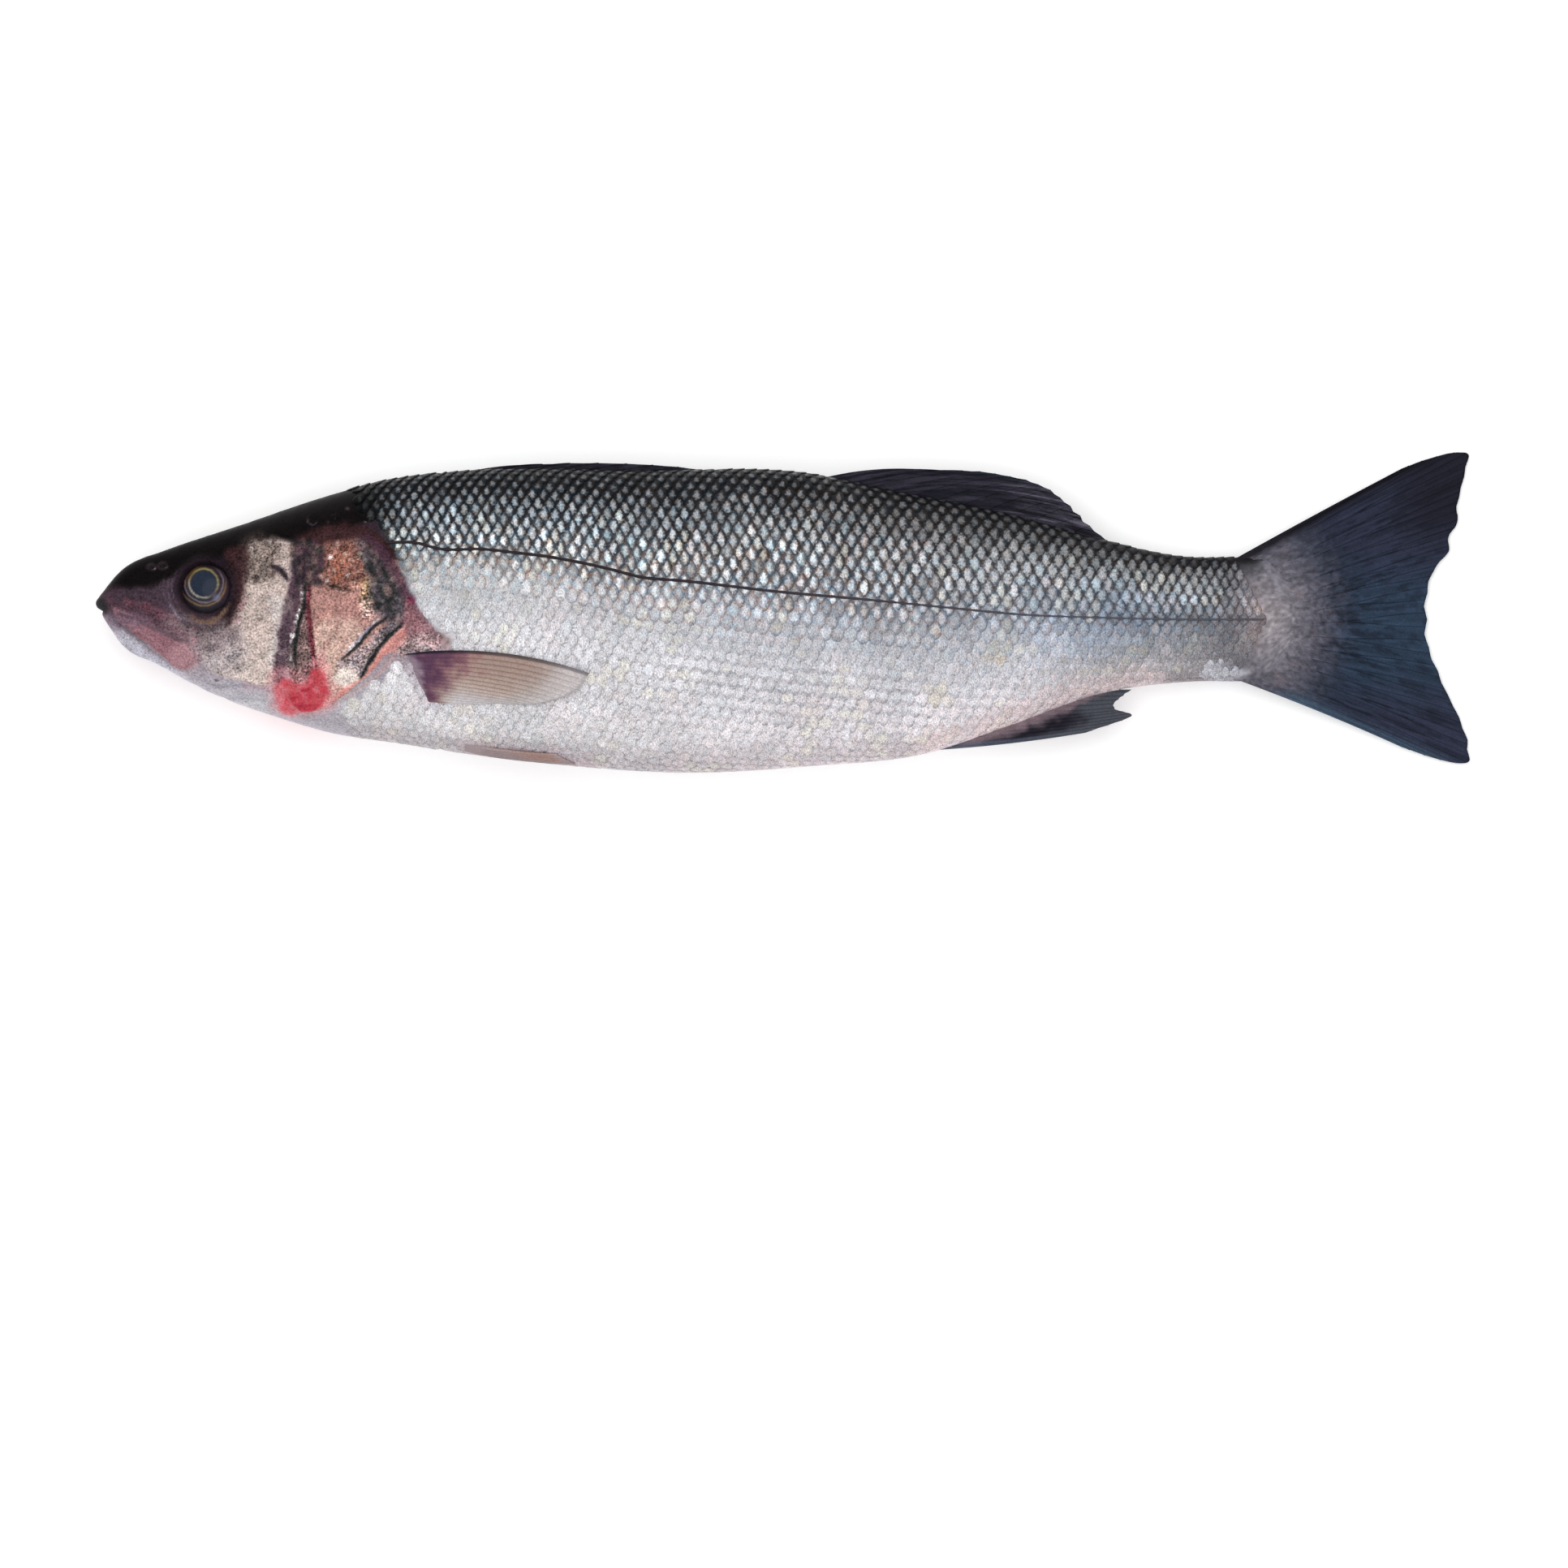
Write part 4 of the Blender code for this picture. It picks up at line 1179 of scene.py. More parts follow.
        paint(spot(-127, -18.6, 3.6, 2.8, 1.8, 0.8), Tone.CREAM, 0.85, mottle=0.2, grit=0.15)
        paint(Area(MEMBRANE, 1, 0.4), Tone.MEMBRANE, 0.9, mottle=0.2, wet=0.8, grit=0.1)
        paint(Band(EDGE_LINE, 0.9, 0.9, 0.4), Tone.EDGE_PINK, 0.6, mottle=0.3)
        paint(Band(LOWER_EDGE_LINE, 1.3, 0.6, 0.5), Tone.BLACK_GREEN, 0.9)
        paint(Band(REAR_EDGE_LINE, 3, 1.4, 0.5, 0.5), Tone.PLUM, 0.85, mottle=0.2)
        paint(Band(CREASE_LINE, 1.3, 0.6, 0.4), Tone.BLACK_GREEN, 0.9)
        # painted highlight along the upper side of the crease, made glossy too
        paint(Band(CREASE_HIGHLIGHT, 0.8, 0.5, 0.3), Tone.LAVENDER, 0.8, mottle=0.4, wet=0.6)
        paint(Area(DARK_CORNER, 2, 0.8), Tone.GROOVE_DARK, 0.92, mottle=0.15, grit=0.2)
        paint(Area(RIDGE_STRIP, 1.2, 0.5), Tone.STRIP, 0.92, mottle=0.2, grit=0.6)
        paint(Band(GROOVE_LINE, 4, 1.4, 0.7, 0.6), Tone.GROOVE, 0.92, mottle=0.4, grit=0.25)
        self.freckle(canvas, DARK_CORNER, Tone.WARM_BROWN, 40, 0.9, 0.3)
        self.freckle(canvas, DARK_CORNER, Tone.BLACK_GREEN, 52, 0.9, 0.4)
        paint(Band(GROOVE_LINE[2:], 1, 1.2, 0.4, 0.5), Tone.BLACK_GREEN, 0.35, mottle=0.6)
        paint(Band(RIDGE_SHADE, 1.3, 0.7, 0.5), Tone.BLACK_GREEN, 0.9)
        paint(Band(RIDGE_LINE, 1, 0.5, 0.5), Tone.RIDGE, 0.8, mottle=0.5, wet=1)
        paint(Band(INNER_LINE, 1.5, 0.9, 0.4), Tone.MAROON_RED, 0.9)
        self.glint(canvas, RIDGE_LINE, Tone.WHITE, 13, 0.45)
        self.glint(canvas, CREASE_HIGHLIGHT, Tone.WHITE, 5, 0.35)
        paint(Area(BLOOD_HAZE, 3.5, 1.2), Tone.BLOOD_PALE, 0.6, mottle=0.3)
        paint(Area(BLOOD, 2.4, 1.1), Tone.BLOOD, 0.97, mottle=0.15, wet=0.9, grit=0.03)
        paint(spot(-139, -18, 2, 2.4, 2, 0.8), Tone.STRIP, 0.4, mottle=0.3)
        paint(spot(-146, -24, 1.4, 3.2, 1.6, 0.8), Tone.BLOOD_PALE, 0.6, mottle=0.3)
        for line, wide in (
            (((-143, -25), (-140, -24), (-137.4, -24.6)), 1.6),
            (((-145, -27), (-140, -26.6), (-135, -26.6)), 0.8),
            (((-142, -21), (-138.6, -22.4), (-136.4, -20)), 1),
            (((-142, -28.4), (-138.4, -28), (-136, -28)), 0.6),
        ):
            paint(Band(line, wide, 1.6, 0.3, 0.8), Tone.BLOOD_DARK, 0.75, mottle=0.5, wet=0.9)
        self.freckle(canvas, BLOOD, Tone.BLOOD_PALE, 26, 0.7, 0.3)
        for centre in ((-131.5, 15.7), (-126.5, 10.5), (-132.3, 8.8)):
            paint(spot(*centre, 0.7, 0.5, 0.4, 0.2), Tone.WHITE, 0.7)
        paint(Band(((-132.6, 7.6), (-130, 7.2), (-127.8, 6.2)), 0.9, 0.4, 0.3), Tone.BLACK_GREEN, 0.85)
        paint(spot(-108.2, 3.1, 1.1, 1.3, 0.8, 0.3), Tone.CRIMSON, 0.8)

    def stripe_flesh(self, canvas: Canvas) -> None:
        """Fine brown streaks that run down the pink part of the gill cover."""
        draw = np.random.default_rng(SEED + 40)
        for _ in range(44):
            x, y = -134 + 13 * draw.random(), -13 + 18 * draw.random()
            length = 1.5 + 3 * draw.random()
            if y + length < 6 and x < -118 - 0.4 * abs(y):
                streak = ((x, y), (x + 0.3, y + 0.5 * length), (x + 0.5 * draw.random(), y + length))
                canvas.paint(Band(streak, 0.55, 0.5, 0.3), Tone.SALMON_DARK, 0.55)

    def paint_eye_rim(self, canvas: Canvas) -> None:
        """Dark eyelid, tan crescent below the eye and folds in front of it."""
        paint = canvas.paint
        paint(spot(EYE_X, EYE_Y, 8.8, 9, 3, 0.5), Tone.EYELID, 0.7)
        # painted shadow under the eye, laid in the eyelid's dark tone
        paint(Band(EYE_SHADE, 2.2, 2.6, 0.3), Tone.EYELID, 0.45)
        for step in range(3):
            reach = 9.4 + 1.3 * step
            turns = [math.radians(150 + 15 * turn) for turn in range(6)]
            arc = tuple((EYE_X + reach * math.cos(turn), EYE_Y + reach * math.sin(turn)) for turn in turns)
            paint(Band(arc, 0.5, 0.6, 0.3), Tone.FOLD, 0.3 - 0.06 * step, mottle=0.7)
        paint(Band(EYE_CRESCENT, 1.5, 0.9, 0.3, 0.4), Tone.EYE_TAN, 0.75, mottle=0.4)
        paint(Band(EYE_FOLD, 0.7, 0.5, 0.3), Tone.FOLD, 0.5, mottle=0.4)


@dataclass
class TrunkSkin:
    """Skin from the shoulder to the stump that the tail fin grows from; the scales lie on it."""

    step: float = 1.0
    around: int = 200
    finish: WetFinish = WetFinish("trunk_skin_finish", roughness=0.4, spots=0.25)
    item: Item | None = None

    def build(self) -> None:
        """Makes the skin and paints it in the net tone that shows between scales."""
        stump = TRUNK_END_X - np.array([4, 3.2, 2.5, 1.9, 1.4, 1, 0.7, 0.45, 0.25, 0.12, 0.04])
        stations = np.concatenate([np.arange(TRUNK_START, TRUNK_END_X - 4.5, self.step), stump])
        tube = TubeSkin("trunk_skin", stations, self.around)
        points, normals, x = tube.lay_out()
        light, net = flank_colours(x, points[:, 1])
        bare = smooth_step(136, 141, x + 2 * (Grain(SEED).layered(x, points[:, 1], 2) - 0.5))[:, None]
        share = (0.25 + 0.65 * smooth_step(0.1, 0.02, BODY.height_share(x, points[:, 1])))[:, None]
        colour = (share * light + (1 - share) * net) * (1 - bare) + tail_root_tone(x, points[:, 1]) * bare
        canvas = Canvas(x, points[:, 1], colour)
        paint_shoulder(canvas)
        colour = canvas.finished()
        tuck = 1 - smooth_step(TRUNK_START, HEAD_END - 1, x)
        self.item = tube.build(-tuck - 0.12, points, normals)
        upward = np.concatenate([normals[:, 2], [0, 0]])
        add_colour(self.item, "paint", to_linear(np.vstack([colour, colour[:1], colour[-1:]]), upward))
        add_number(self.item, "wet", np.zeros(len(colour) + 2))
        dress(self.item, self.finish.make())
        hand_over(self.item, "skin", "fish")


@dataclass(frozen=True)
class FinShape:
    """Where a fin grows from, where it ends and how thick it is.

    Args:
        name: the fin's name.
        root: points of the line that it grows from.
        tip: points of its free edge.
        rays: how many rays it has.
        root_half: half its thickness at the root.
        tip_half: half its thickness at the free edge.
        bows: how far the first and last rays bow to the side.
        ragged: how uneven the free edge is.
    """

    name: str
    root: Points
    tip: Points
    rays: int
    root_half: float
    tip_half: float
    bows: tuple[float, float]
    ragged: float

    def edges(self, columns: int) -> tuple[Array, Array, Array, Array]:
        """Start, reach, side direction and bow of each column of the fin."""
        draw = random.Random(7)
        coarse = 2 * self.rays + 1
        inset = [draw.uniform(0, self.ragged) + (0 if column % 2 else self.ragged) for column in range(coarse)]
        inset[0] = inset[-1] = 0
        place = np.linspace(0, coarse - 1, columns)
        inset = np.interp(place, range(coarse), inset)
        start, end = smooth_path(self.root, columns), smooth_path(self.tip, columns)
        reach = end - start
        length = np.linalg.norm(reach, axis=1, keepdims=True)
        side = np.column_stack([-reach[:, 1], reach[:, 0]]) / length
        reach = reach * (1 - inset[:, None] / length)
        return start, reach, side, np.linspace(*self.bows, columns)

    def sheet(self, columns: int, along: Array) -> Array:
        """(columns, rows, 2) points of the fin's middle."""
        start, reach, side, bow = self.edges(columns)
        along = along[None, :, None]
        bent = (side * bow[:, None])[:, None] * 4 * along * (1 - along)
        return start[:, None] + reach[:, None] * along + bent

    def half_thickness(self, along: Array) -> Array:
        """Half the thickness at each share of the way to the free edge."""
        return self.root_half + (self.tip_half - self.root_half) * along


TAIL = FinShape(
    "tail_fin",
    ((131, 15.2), (139, 9), (142.5, -2), (139, -12), (131, -19.4)),
    (
        (180, 41.7), (190, 45.3), (199.4, 46.3), (198.9, 42), (197.9, 37.5), (196.8, 33), (196.2, 29),
        (196.6, 25.8), (194.2, 22.4), (193.8, 17.6), (190.1, 12.6), (187.9, 6.8), (187.4, -1), (187.9, -9.7),
        (190.3, -16.6), (193.4, -23.4), (196.6, -30), (199, -36), (199.7, -40.6), (199.4, -43.9),
        (192.2, -43.4), (180, -39.4),
    ),
    19, 1.5, 0.25, (0.2, 0.5), 0.5,
)
SECOND_DORSAL = FinShape(
    "second_dorsal_fin",
    ((8, 38), (30, 33.4), (66, 26.2), (91, 19.6)),
    ((44, 41.1), (56.9, 40.9), (65.4, 39.6), (73.4, 37.6), (79, 34.8), (83.6, 31), (88.4, 26), (94, 20.8)),
    13, 1, 0.3, (1.8, 0), 0.4,
)
FIRST_DORSAL = FinShape(
    "first_dorsal_fin",
    ((-96, 39.6), (-60, 39.6), (-24, 38.8)),
    ((-74, 42.8), (-60, 43.3), (-45, 43.1), (-33, 42.4), (-22, 41.2), (-14, 40.2)),
    8, 1.2, 0.6, (0.8, 0), 0.3,
)
ANAL = FinShape(
    "anal_fin",
    ((37, -40.6), (60, -34), (78, -27.6), (93, -22.6)),
    ((88, -35.2), (101.6, -30), (98.6, -28.9), (96.6, -28.2), (96.4, -26.8), (98.2, -25), (101.4, -22.6)),
    12, 1, 0.3, (-0.8, 0), 0.2,
)
PECTORAL = FinShape(
    "pectoral_fin",
    ((-112.6, -12.6), (-109.2, -19), (-105.4, -25.8)),
    ((-56.4, -17.6), (-58.4, -21), (-63, -24), (-69, -25.8), (-76, -26.6), (-84, -26.6)),
    15, 0.5, 0.25, (3.6, -0.6), 0.3,
)
PELVIC = FinShape(
    "pelvic_fin", ((-94.5, 79), (-94, 68)), ((-60.5, 78), (-66, 67)), 5, 0.6, 0.3, (0, 0), 0,
)
PECTORAL_LIFT = (-0.9, 0.7, 1.6, 1.8, 1.7, 1.5)
PELVIC_LIFT = (-0.9, 0.1, 0.4, 0.5, 0.5, 0.2)
PRESSED_FIN = 0.8
LOW_EDGE = 0.15


class FinTone(Enum):
    """Paint tones of the fins, red, green and blue of 255."""

    SLATE = (44, 58, 76)
    NAVY = (44, 48, 65)
    BLACK = (22, 20, 26)
    EDGE_BLUE = (78, 100, 122)
    ROOT_BROWN = (140, 104, 104)
    DASH = (20, 22, 30)
    PURPLE = (36, 34, 44)
    GREY_PURPLE = (62, 60, 70)
    STREAK = (92, 88, 102)
    TEAL_EDGE = (34, 52, 60)
    MAUVE = (148, 128, 136)
    BAND_MAUVE = (196, 174, 178)
    SLATE_GREY = (86, 89, 98)
    GREY_BLUE = (92, 100, 118)
    BASE_PURPLE = (88, 60, 82)
    BASE_RED = (164, 108, 110)
    BEIGE = (182, 162, 152)
    BEIGE_RAY = (146, 122, 114)
    BEIGE_END = (164, 158, 152)
    FLANK_PALE = (204, 198, 200)
    STRIP_MAUVE = (170, 154, 158)
    STRIP_BROWN = (172, 142, 134)


FinPaint = Callable[[Array, Array, Array, Array], Array]


@dataclass
class FinBlade:
    """A fin: a thin ribbed skin with raised rays along it.

    Args:
        shape: where it lies.
        paint: function that gives its tones.
        fine: how many columns the skin has for each ray.
        rows: how many rows it has from root to free edge.
        ray_width: radius of a ray at its root.
        branches: whether each ray splits in two.
        roughness: middle roughness of its finish.
        spots: how strongly fine spots change its colour.
        ray_start: share of the way to the free edge where the rays begin to rise from the skin.
    """

    shape: FinShape
    paint: FinPaint
    fine: int = 8
    rows: int = 40
    ray_width: float = 0.32
    branches: bool = False
    roughness: float = 0.5
    spots: float = 0.35
    ray_start: float = -0.6
    item: Item | None = None

    def share_grid(self) -> tuple[Array, Array]:
        """Share across the fin and along its rays at each point of the skin."""
        columns = self.shape.rays * self.fine + 1
        return np.meshgrid(np.linspace(0, 1, columns), np.linspace(0, 1, self.rows), indexing="ij")

    def rib(self, across: Array, along: Array) -> Array:
        """1 on a ray and 0 halfway between two rays."""
        place = across * self.shape.rays
        split = 0.25 * smooth_step(0.35, 0.9, along) if self.branches else 0
        offset = np.abs(place - np.floor(place) - 0.5)
        away = np.clip(np.abs(offset - split) / (0.5 - 0.5 * np.asarray(split)), 0, 1)
        return np.cos(math.pi * away) * 0.5 + 0.5

    def middle_height(self, flat: Array, half: Array) -> Array:
        """Height of the fin's middle, resting on the floor where it droops that far."""
        return np.maximum(smooth_curve(MIDDLE_HEIGHT, flat[..., 0]), half)

    def surfaces(self, flat: Array, along: Array, rib: Array) -> tuple[Array, Array]:
        """Upper and lower faces of the skin as grids of points."""
        half = self.shape.half_thickness(along) * (0.72 + 0.28 * rib)
        middle = self.middle_height(flat, self.shape.half_thickness(along))
        upper = np.concatenate([flat, (middle + half)[..., None]], axis=-1)
        lower = np.concatenate([flat, (middle - half)[..., None]], axis=-1)
        return upper, lower

    def build(self) -> None:
        """Makes the skin, its rays and its finish."""
        across, along = self.share_grid()
        columns, rows = across.shape
        flat = self.shape.sheet(columns, along[0])
        rib = self.rib(across, along)
        upper, lower = self.surfaces(flat, along, rib)
        upper[..., 2] = np.maximum(upper[..., 2], LOW_EDGE)
        lower[..., 2] = np.maximum(lower[..., 2], 0.02)
        self.item = close_sheet(self.shape.name, upper, lower)
        tones = self.paint(across, along, rib, flat).reshape(-1, 3)
        add_colour(self.item, "paint", to_linear(np.vstack([tones, tones])))
        add_number(self.item, "wet", np.zeros(2 * len(tones)))
        finish = WetFinish(self.shape.name + "_finish", self.roughness, 0.03, 0.0005, self.spots, 0.00005)
        dress(self.item, finish.make())
        self.add_rays(upper, along, tones.reshape(columns, rows, 3), finish)
        hand_over(self.item, "fin", "fish")

    def add_rays(self, upper: Array, along: Array, tones: Array, finish: WetFinish) -> None:
        """Lays thin rods along the rays by Geometry Nodes."""
        lines, tints, widths = [], [], []
        for ray in range(self.shape.rays):
            for side in (-1, 1) if self.branches else (0,):
                split = 0.25 * smooth_step(0.35, 0.9, along[0]) * side
                column = (ray + 0.5 + split) * self.fine
                low = np.floor(column).astype(int)
                share = (column - low)[:, None]
                row = np.arange(len(low))
                lines.append(upper[low, row] * (1 - share) + upper[low + 1, row] * share)
                tints.append(tones[low, row] * (1 - 0.16 * smooth_step(0.12, 0.5, along[0]))[:, None])
                rise = smooth_step(self.ray_start, 0.5, along[0])
                widths.append(self.ray_width * (1 - 0.55 * along[0]) * rise)
        rods = RodSet(self.shape.name + "_rays", lines, tints, widths)
        rods.build(WetFinish(rods.name + "_finish", self.roughness, 0.03, 0.0004, self.spots, 0.00004), "fin")


def close_sheet(name: str, upper: Array, lower: Array) -> Item:
    """Closed thin piece from an upper and a lower grid of points.

    Args:
        name: the object's name.
        upper: (columns, rows, 3) points of the face that looks up.
        lower: the same for the face that looks down.

    Returns:
        The object, with its faces turned outwards.
    """
    columns, rows = upper.shape[:2]
    count = columns * rows
    faces = [tuple(face) for face in grid_faces(columns, rows, ring=False)]
    turn = np.cross(upper[1, 0] - upper[0, 0], upper[0, 1] - upper[0, 0])[2]
    rim = [column * rows for column in range(columns)]
    rim += [(columns - 1) * rows + row for row in range(1, rows)]
    rim += [column * rows + rows - 1 for column in range(columns - 2, -1, -1)]
    rim += list(range(rows - 2, 0, -1))
    under = [tuple(count + corner for corner in reversed(face)) for face in faces]
    sides = [(rim[step - 1], count + rim[step - 1], count + rim[step], rim[step]) for step in range(len(rim))]
    faces = faces + under + sides
    if turn < 0:
        faces = [tuple(reversed(face)) for face in faces]
    return make_object(name, np.vstack([upper.reshape(-1, 3), lower.reshape(-1, 3)]), faces)


def rod_tree() -> bpy.types.NodeTree:
    """Geometry Nodes group that turns lines of edges into round rods of the width stored at each point."""
    name = "rods_along_lines"
    if name in bpy.data.node_groups:
        return bpy.data.node_groups[name]
    inputs = {"Lines": ("Geometry", None), "Sides": ("Int", 6), "Material": ("Material", None)}
    make = start_group(name, "GeometryNodeTree", inputs, {"Rods": "Geometry"})
    given = make.add("NodeGroupInput").outputs
    curve = make.add("GeometryNodeMeshToCurve", {"Mesh": given["Lines"]}).outputs[0]
    width = make.add("GeometryNodeInputNamedAttribute", {"Name": "rod_width"}, data_type="FLOAT").outputs[0]
    profile = make.add("GeometryNodeCurvePrimitiveCircle", {"Resolution": given["Sides"], "Radius": 1})
    parts = {"Curve": curve, "Profile Curve": profile.outputs[0], "Scale": width, "Fill Caps": True}
    sweep = make.add("GeometryNodeCurveToMesh", parts).outputs[0]
    real = make.add("GeometryNodeRealizeInstances", {"Geometry": sweep}).outputs[0]
    make.hand_out(real, given["Material"], "Rods")
    return make.tree


def run_tree(item: Item, tree: bpy.types.NodeTree, settings: dict[str, object]) -> None:
    """Runs a Geometry Nodes group on an object and keeps the result as its plain mesh.

    Args:
        item: the object.
        tree: the group.
        settings: input name to value.
    """
    modifier = item.modifiers.new("shape", "NODES")
    modifier.node_group = tree
    for socket in tree.interface.items_tree:
        if socket.item_type == "SOCKET" and socket.in_out == "INPUT" and socket.name in settings:
            modifier[socket.identifier] = settings[socket.name]
    bpy.context.view_layer.update()
    graph = bpy.context.evaluated_depsgraph_get()
    result = bpy.data.meshes.new_from_object(item.evaluated_get(graph))
    item.modifiers.clear()
    old, item.data = item.data, result
    bpy.data.meshes.remove(old)
    result.name = item.name


@dataclass
class RodSet:
    """Thin rods along lines of points, such as fin rays.

    Args:
        name: name of the piece.
        lines: each rod's points in millimetres.
        tints: each rod's tone at each point.
        widths: each rod's radius at each point.
        sides: how many sides a rod's section has.
    """

    name: str
    lines: list[Array]
    tints: list[Array]
    widths: list[Array]
    sides: int = 6

    def build(self, finish: WetFinish, slot: str) -> None:
        """Makes the rods as one piece."""
        points = np.vstack(self.lines)
        edges, first = [], 0
        for line in self.lines:
            edges += [(first + step, first + step + 1) for step in range(len(line) - 1)]
            first += len(line)
        item = make_object(self.name, points, edges=edges)
        add_colour(item, "paint", to_linear(np.vstack(self.tints)))
        add_number(item, "rod_width", np.concatenate(self.widths) * MM)
        run_tree(item, rod_tree(), {"Sides": self.sides, "Material": finish.make()})
        hand_over(item, slot, "fish")


@dataclass
class SideFin(FinBlade):
    """A fin that lies against the flank and follows the skin's curve.

    Args:
        lift: distance of its middle from the skin at equal steps from root to free edge.
        degrees: whether the shape's second coordinate is an angle below the flank's middle, not a height.
        side: 1 for the left flank and -1 for the right one.
    """

    lift: tuple[float, ...] = (0, 1)
    degrees: bool = False
    side: int = 1

    def surfaces(self, flat: Array, along: Array, rib: Array) -> tuple[Array, Array]:
        """Outer and inner faces of the fin as grids of points."""
        x = flat[..., 0]
        angle = -np.radians(flat[..., 1]) if self.degrees else BODY.flank_angle(x, flat[..., 1])
        angle = angle if self.side > 0 else math.pi - angle
        steps = np.linspace(0, 1, len(self.lift))
        lift = np.interp(along, steps, self.lift)
        half = self.shape.half_thickness(along) * (1 - 0.4 * (1 - rib) * smooth_step(0.1, 0.3, along))
        if not self.degrees:
            across = np.linspace(0, 1, len(x))[:, None]
            low = smooth_step(0.55, 1, across)
            lift = lift * (1 - 0.9 * low * (lift > 0))
            half = half * (1 - 0.6 * low)
        skin, normal = BODY.skin_point(x, angle), BODY.skin_normal(x, angle)
        outer = skin + normal * (lift + half)[..., None]
        inner = skin + normal * (lift - half)[..., None]
        inner[..., 2] = np.maximum(inner[..., 2], LOW_EDGE + (PRESSED_FIN if self.side < 0 else 0))
        outer[..., 2] = np.maximum(outer[..., 2], LOW_EDGE)
        return outer, inner


def plain(tone: Enum, shape: tuple[int, ...]) -> Array:
    """One tone at every point of a grid of some shape."""
    return np.ones(shape + (3,)) * np.array(tone.value)


def blend(base: Array, tone: Enum, amount: Array) -> Array:
    """Tones with some amount of another laid over them."""
    amount = np.clip(amount, 0, 1)[..., None]
    return base * (1 - amount) + np.array(tone.value) * amount


def paint_tail(across: Array, along: Array, rib: Array, flat: Array) -> Array:
    """Grey mottled root, slate middle, navy lobes, pale lower edge and dashes along the rays."""
    grain = Grain(SEED + 1)
    x, y = flat[..., 0], flat[..., 1]
    mottle = grain.layered(x, y, 1.8) - 0.5
    tones = plain(FinTone.NAVY, x.shape)
    tones = blend(tones, FinTone.SLATE, 1 - smooth_step(8, 26, np.abs(y + 6) + 10 * mottle))
    root = (1 - smooth_step(20, 32, np.hypot(x - 139, 0.78 * (y + 2)) + 8 * mottle))[..., None]
    tones = tones * (1 - root) + tail_root_tone(x, y) * root
    brown = smooth_step(0.55, 0.75, grain.layered(x, y, 5))
    tones = blend(tones, FinTone.ROOT_BROWN, 0.12 * root[..., 0] * brown)
    tones = blend(tones, FinTone.BLACK, 0.6 * smooth_step(170, 190, x) * smooth_step(14, 32, y))
    dash = smooth_step(0.54, 0.64, grain.layered(along * 26, across * 190, 2))
    fan = smooth_step(0.28, 0.5, along + 0.5 * mottle)
    tones = blend(tones, FinTone.DASH, 0.6 * dash * fan * (1 - 0.6 * along))
    streak = grain.layered(along * 9 + 40, across * 260, 2) - 0.5
    tones = tones * (0.96 + (0.12 * rib + 0.45 * streak) * fan)[..., None]
    edge = smooth_step(0.87, 0.97, across + 0.03 * mottle) * smooth_step(0.15, 0.35, along)
    tones = blend(tones, FinTone.EDGE_BLUE, 0.75 * edge)
    return blend(tones, FinTone.BLACK, 0.85 * (1 - smooth_step(0.02, 0.1, across)))


def paint_dorsal(across: Array, along: Array, rib: Array, flat: Array) -> Array:
    """Purple-black folded fin, paler towards its rear."""
    grain = Grain(SEED + 2)
    x, y = flat[..., 0], flat[..., 1]
    tones = plain(FinTone.PURPLE, x.shape)
    tones = blend(tones, FinTone.GREY_PURPLE, 0.8 * smooth_step(60, 78, x) * (0.4 + 0.6 * rib))
    tones = blend(tones, FinTone.DASH, 0.6 * smooth_step(0.5, 0.65, grain.layered(along * 40, across * 40, 2)))
    sweep = grain.layered(0.12 * x, 2.6 * (y + 0.004 * (x - 50) ** 2), 1.3)
    rear = smooth_step(58, 78, x)
    tones = blend(tones, FinTone.STREAK, smooth_step(0.5, 0.66, sweep) * (0.3 + 0.6 * rear) + 0.25 * rear)
    tones = blend(tones, FinTone.BLACK, 0.8 * smooth_step(0.42, 0.3, sweep) * smooth_step(45, 70, x))
    return blend(tones, FinTone.TEAL_EDGE, 0.5 * smooth_step(0.86, 0.97, along) * (1 - rear))


def paint_anal(across: Array, along: Array, rib: Array, flat: Array) -> Array:
    """Mauve at the root, slate in the middle and bluish grey at the edge."""
    grain = Grain(SEED + 3)
    x, y = flat[..., 0], flat[..., 1]
    tones = plain(FinTone.PURPLE, x.shape)
    mottle = 0.4 * (grain.layered(x, y, 2) - 0.5)
    rear = smooth_step(0.35, 0.9, across)
    tones = blend(tones, FinTone.BAND_MAUVE, 1 - smooth_step(0, 0.3, along + 0.4 * mottle))
    tones = blend(tones, FinTone.MAUVE, 0.8 * (1 - smooth_step(0.2, 0.5, along - 0.2 * rear + 0.6 * mottle)))
    tones = blend(tones, FinTone.GREY_BLUE, 0.8 * (1 - smooth_step(0.04, 0.16, across)))
    return blend(tones, FinTone.SLATE_GREY, 0.85 * smooth_step(0.5, 0.8, along + 0.3 * rear + 0.5 * mottle))


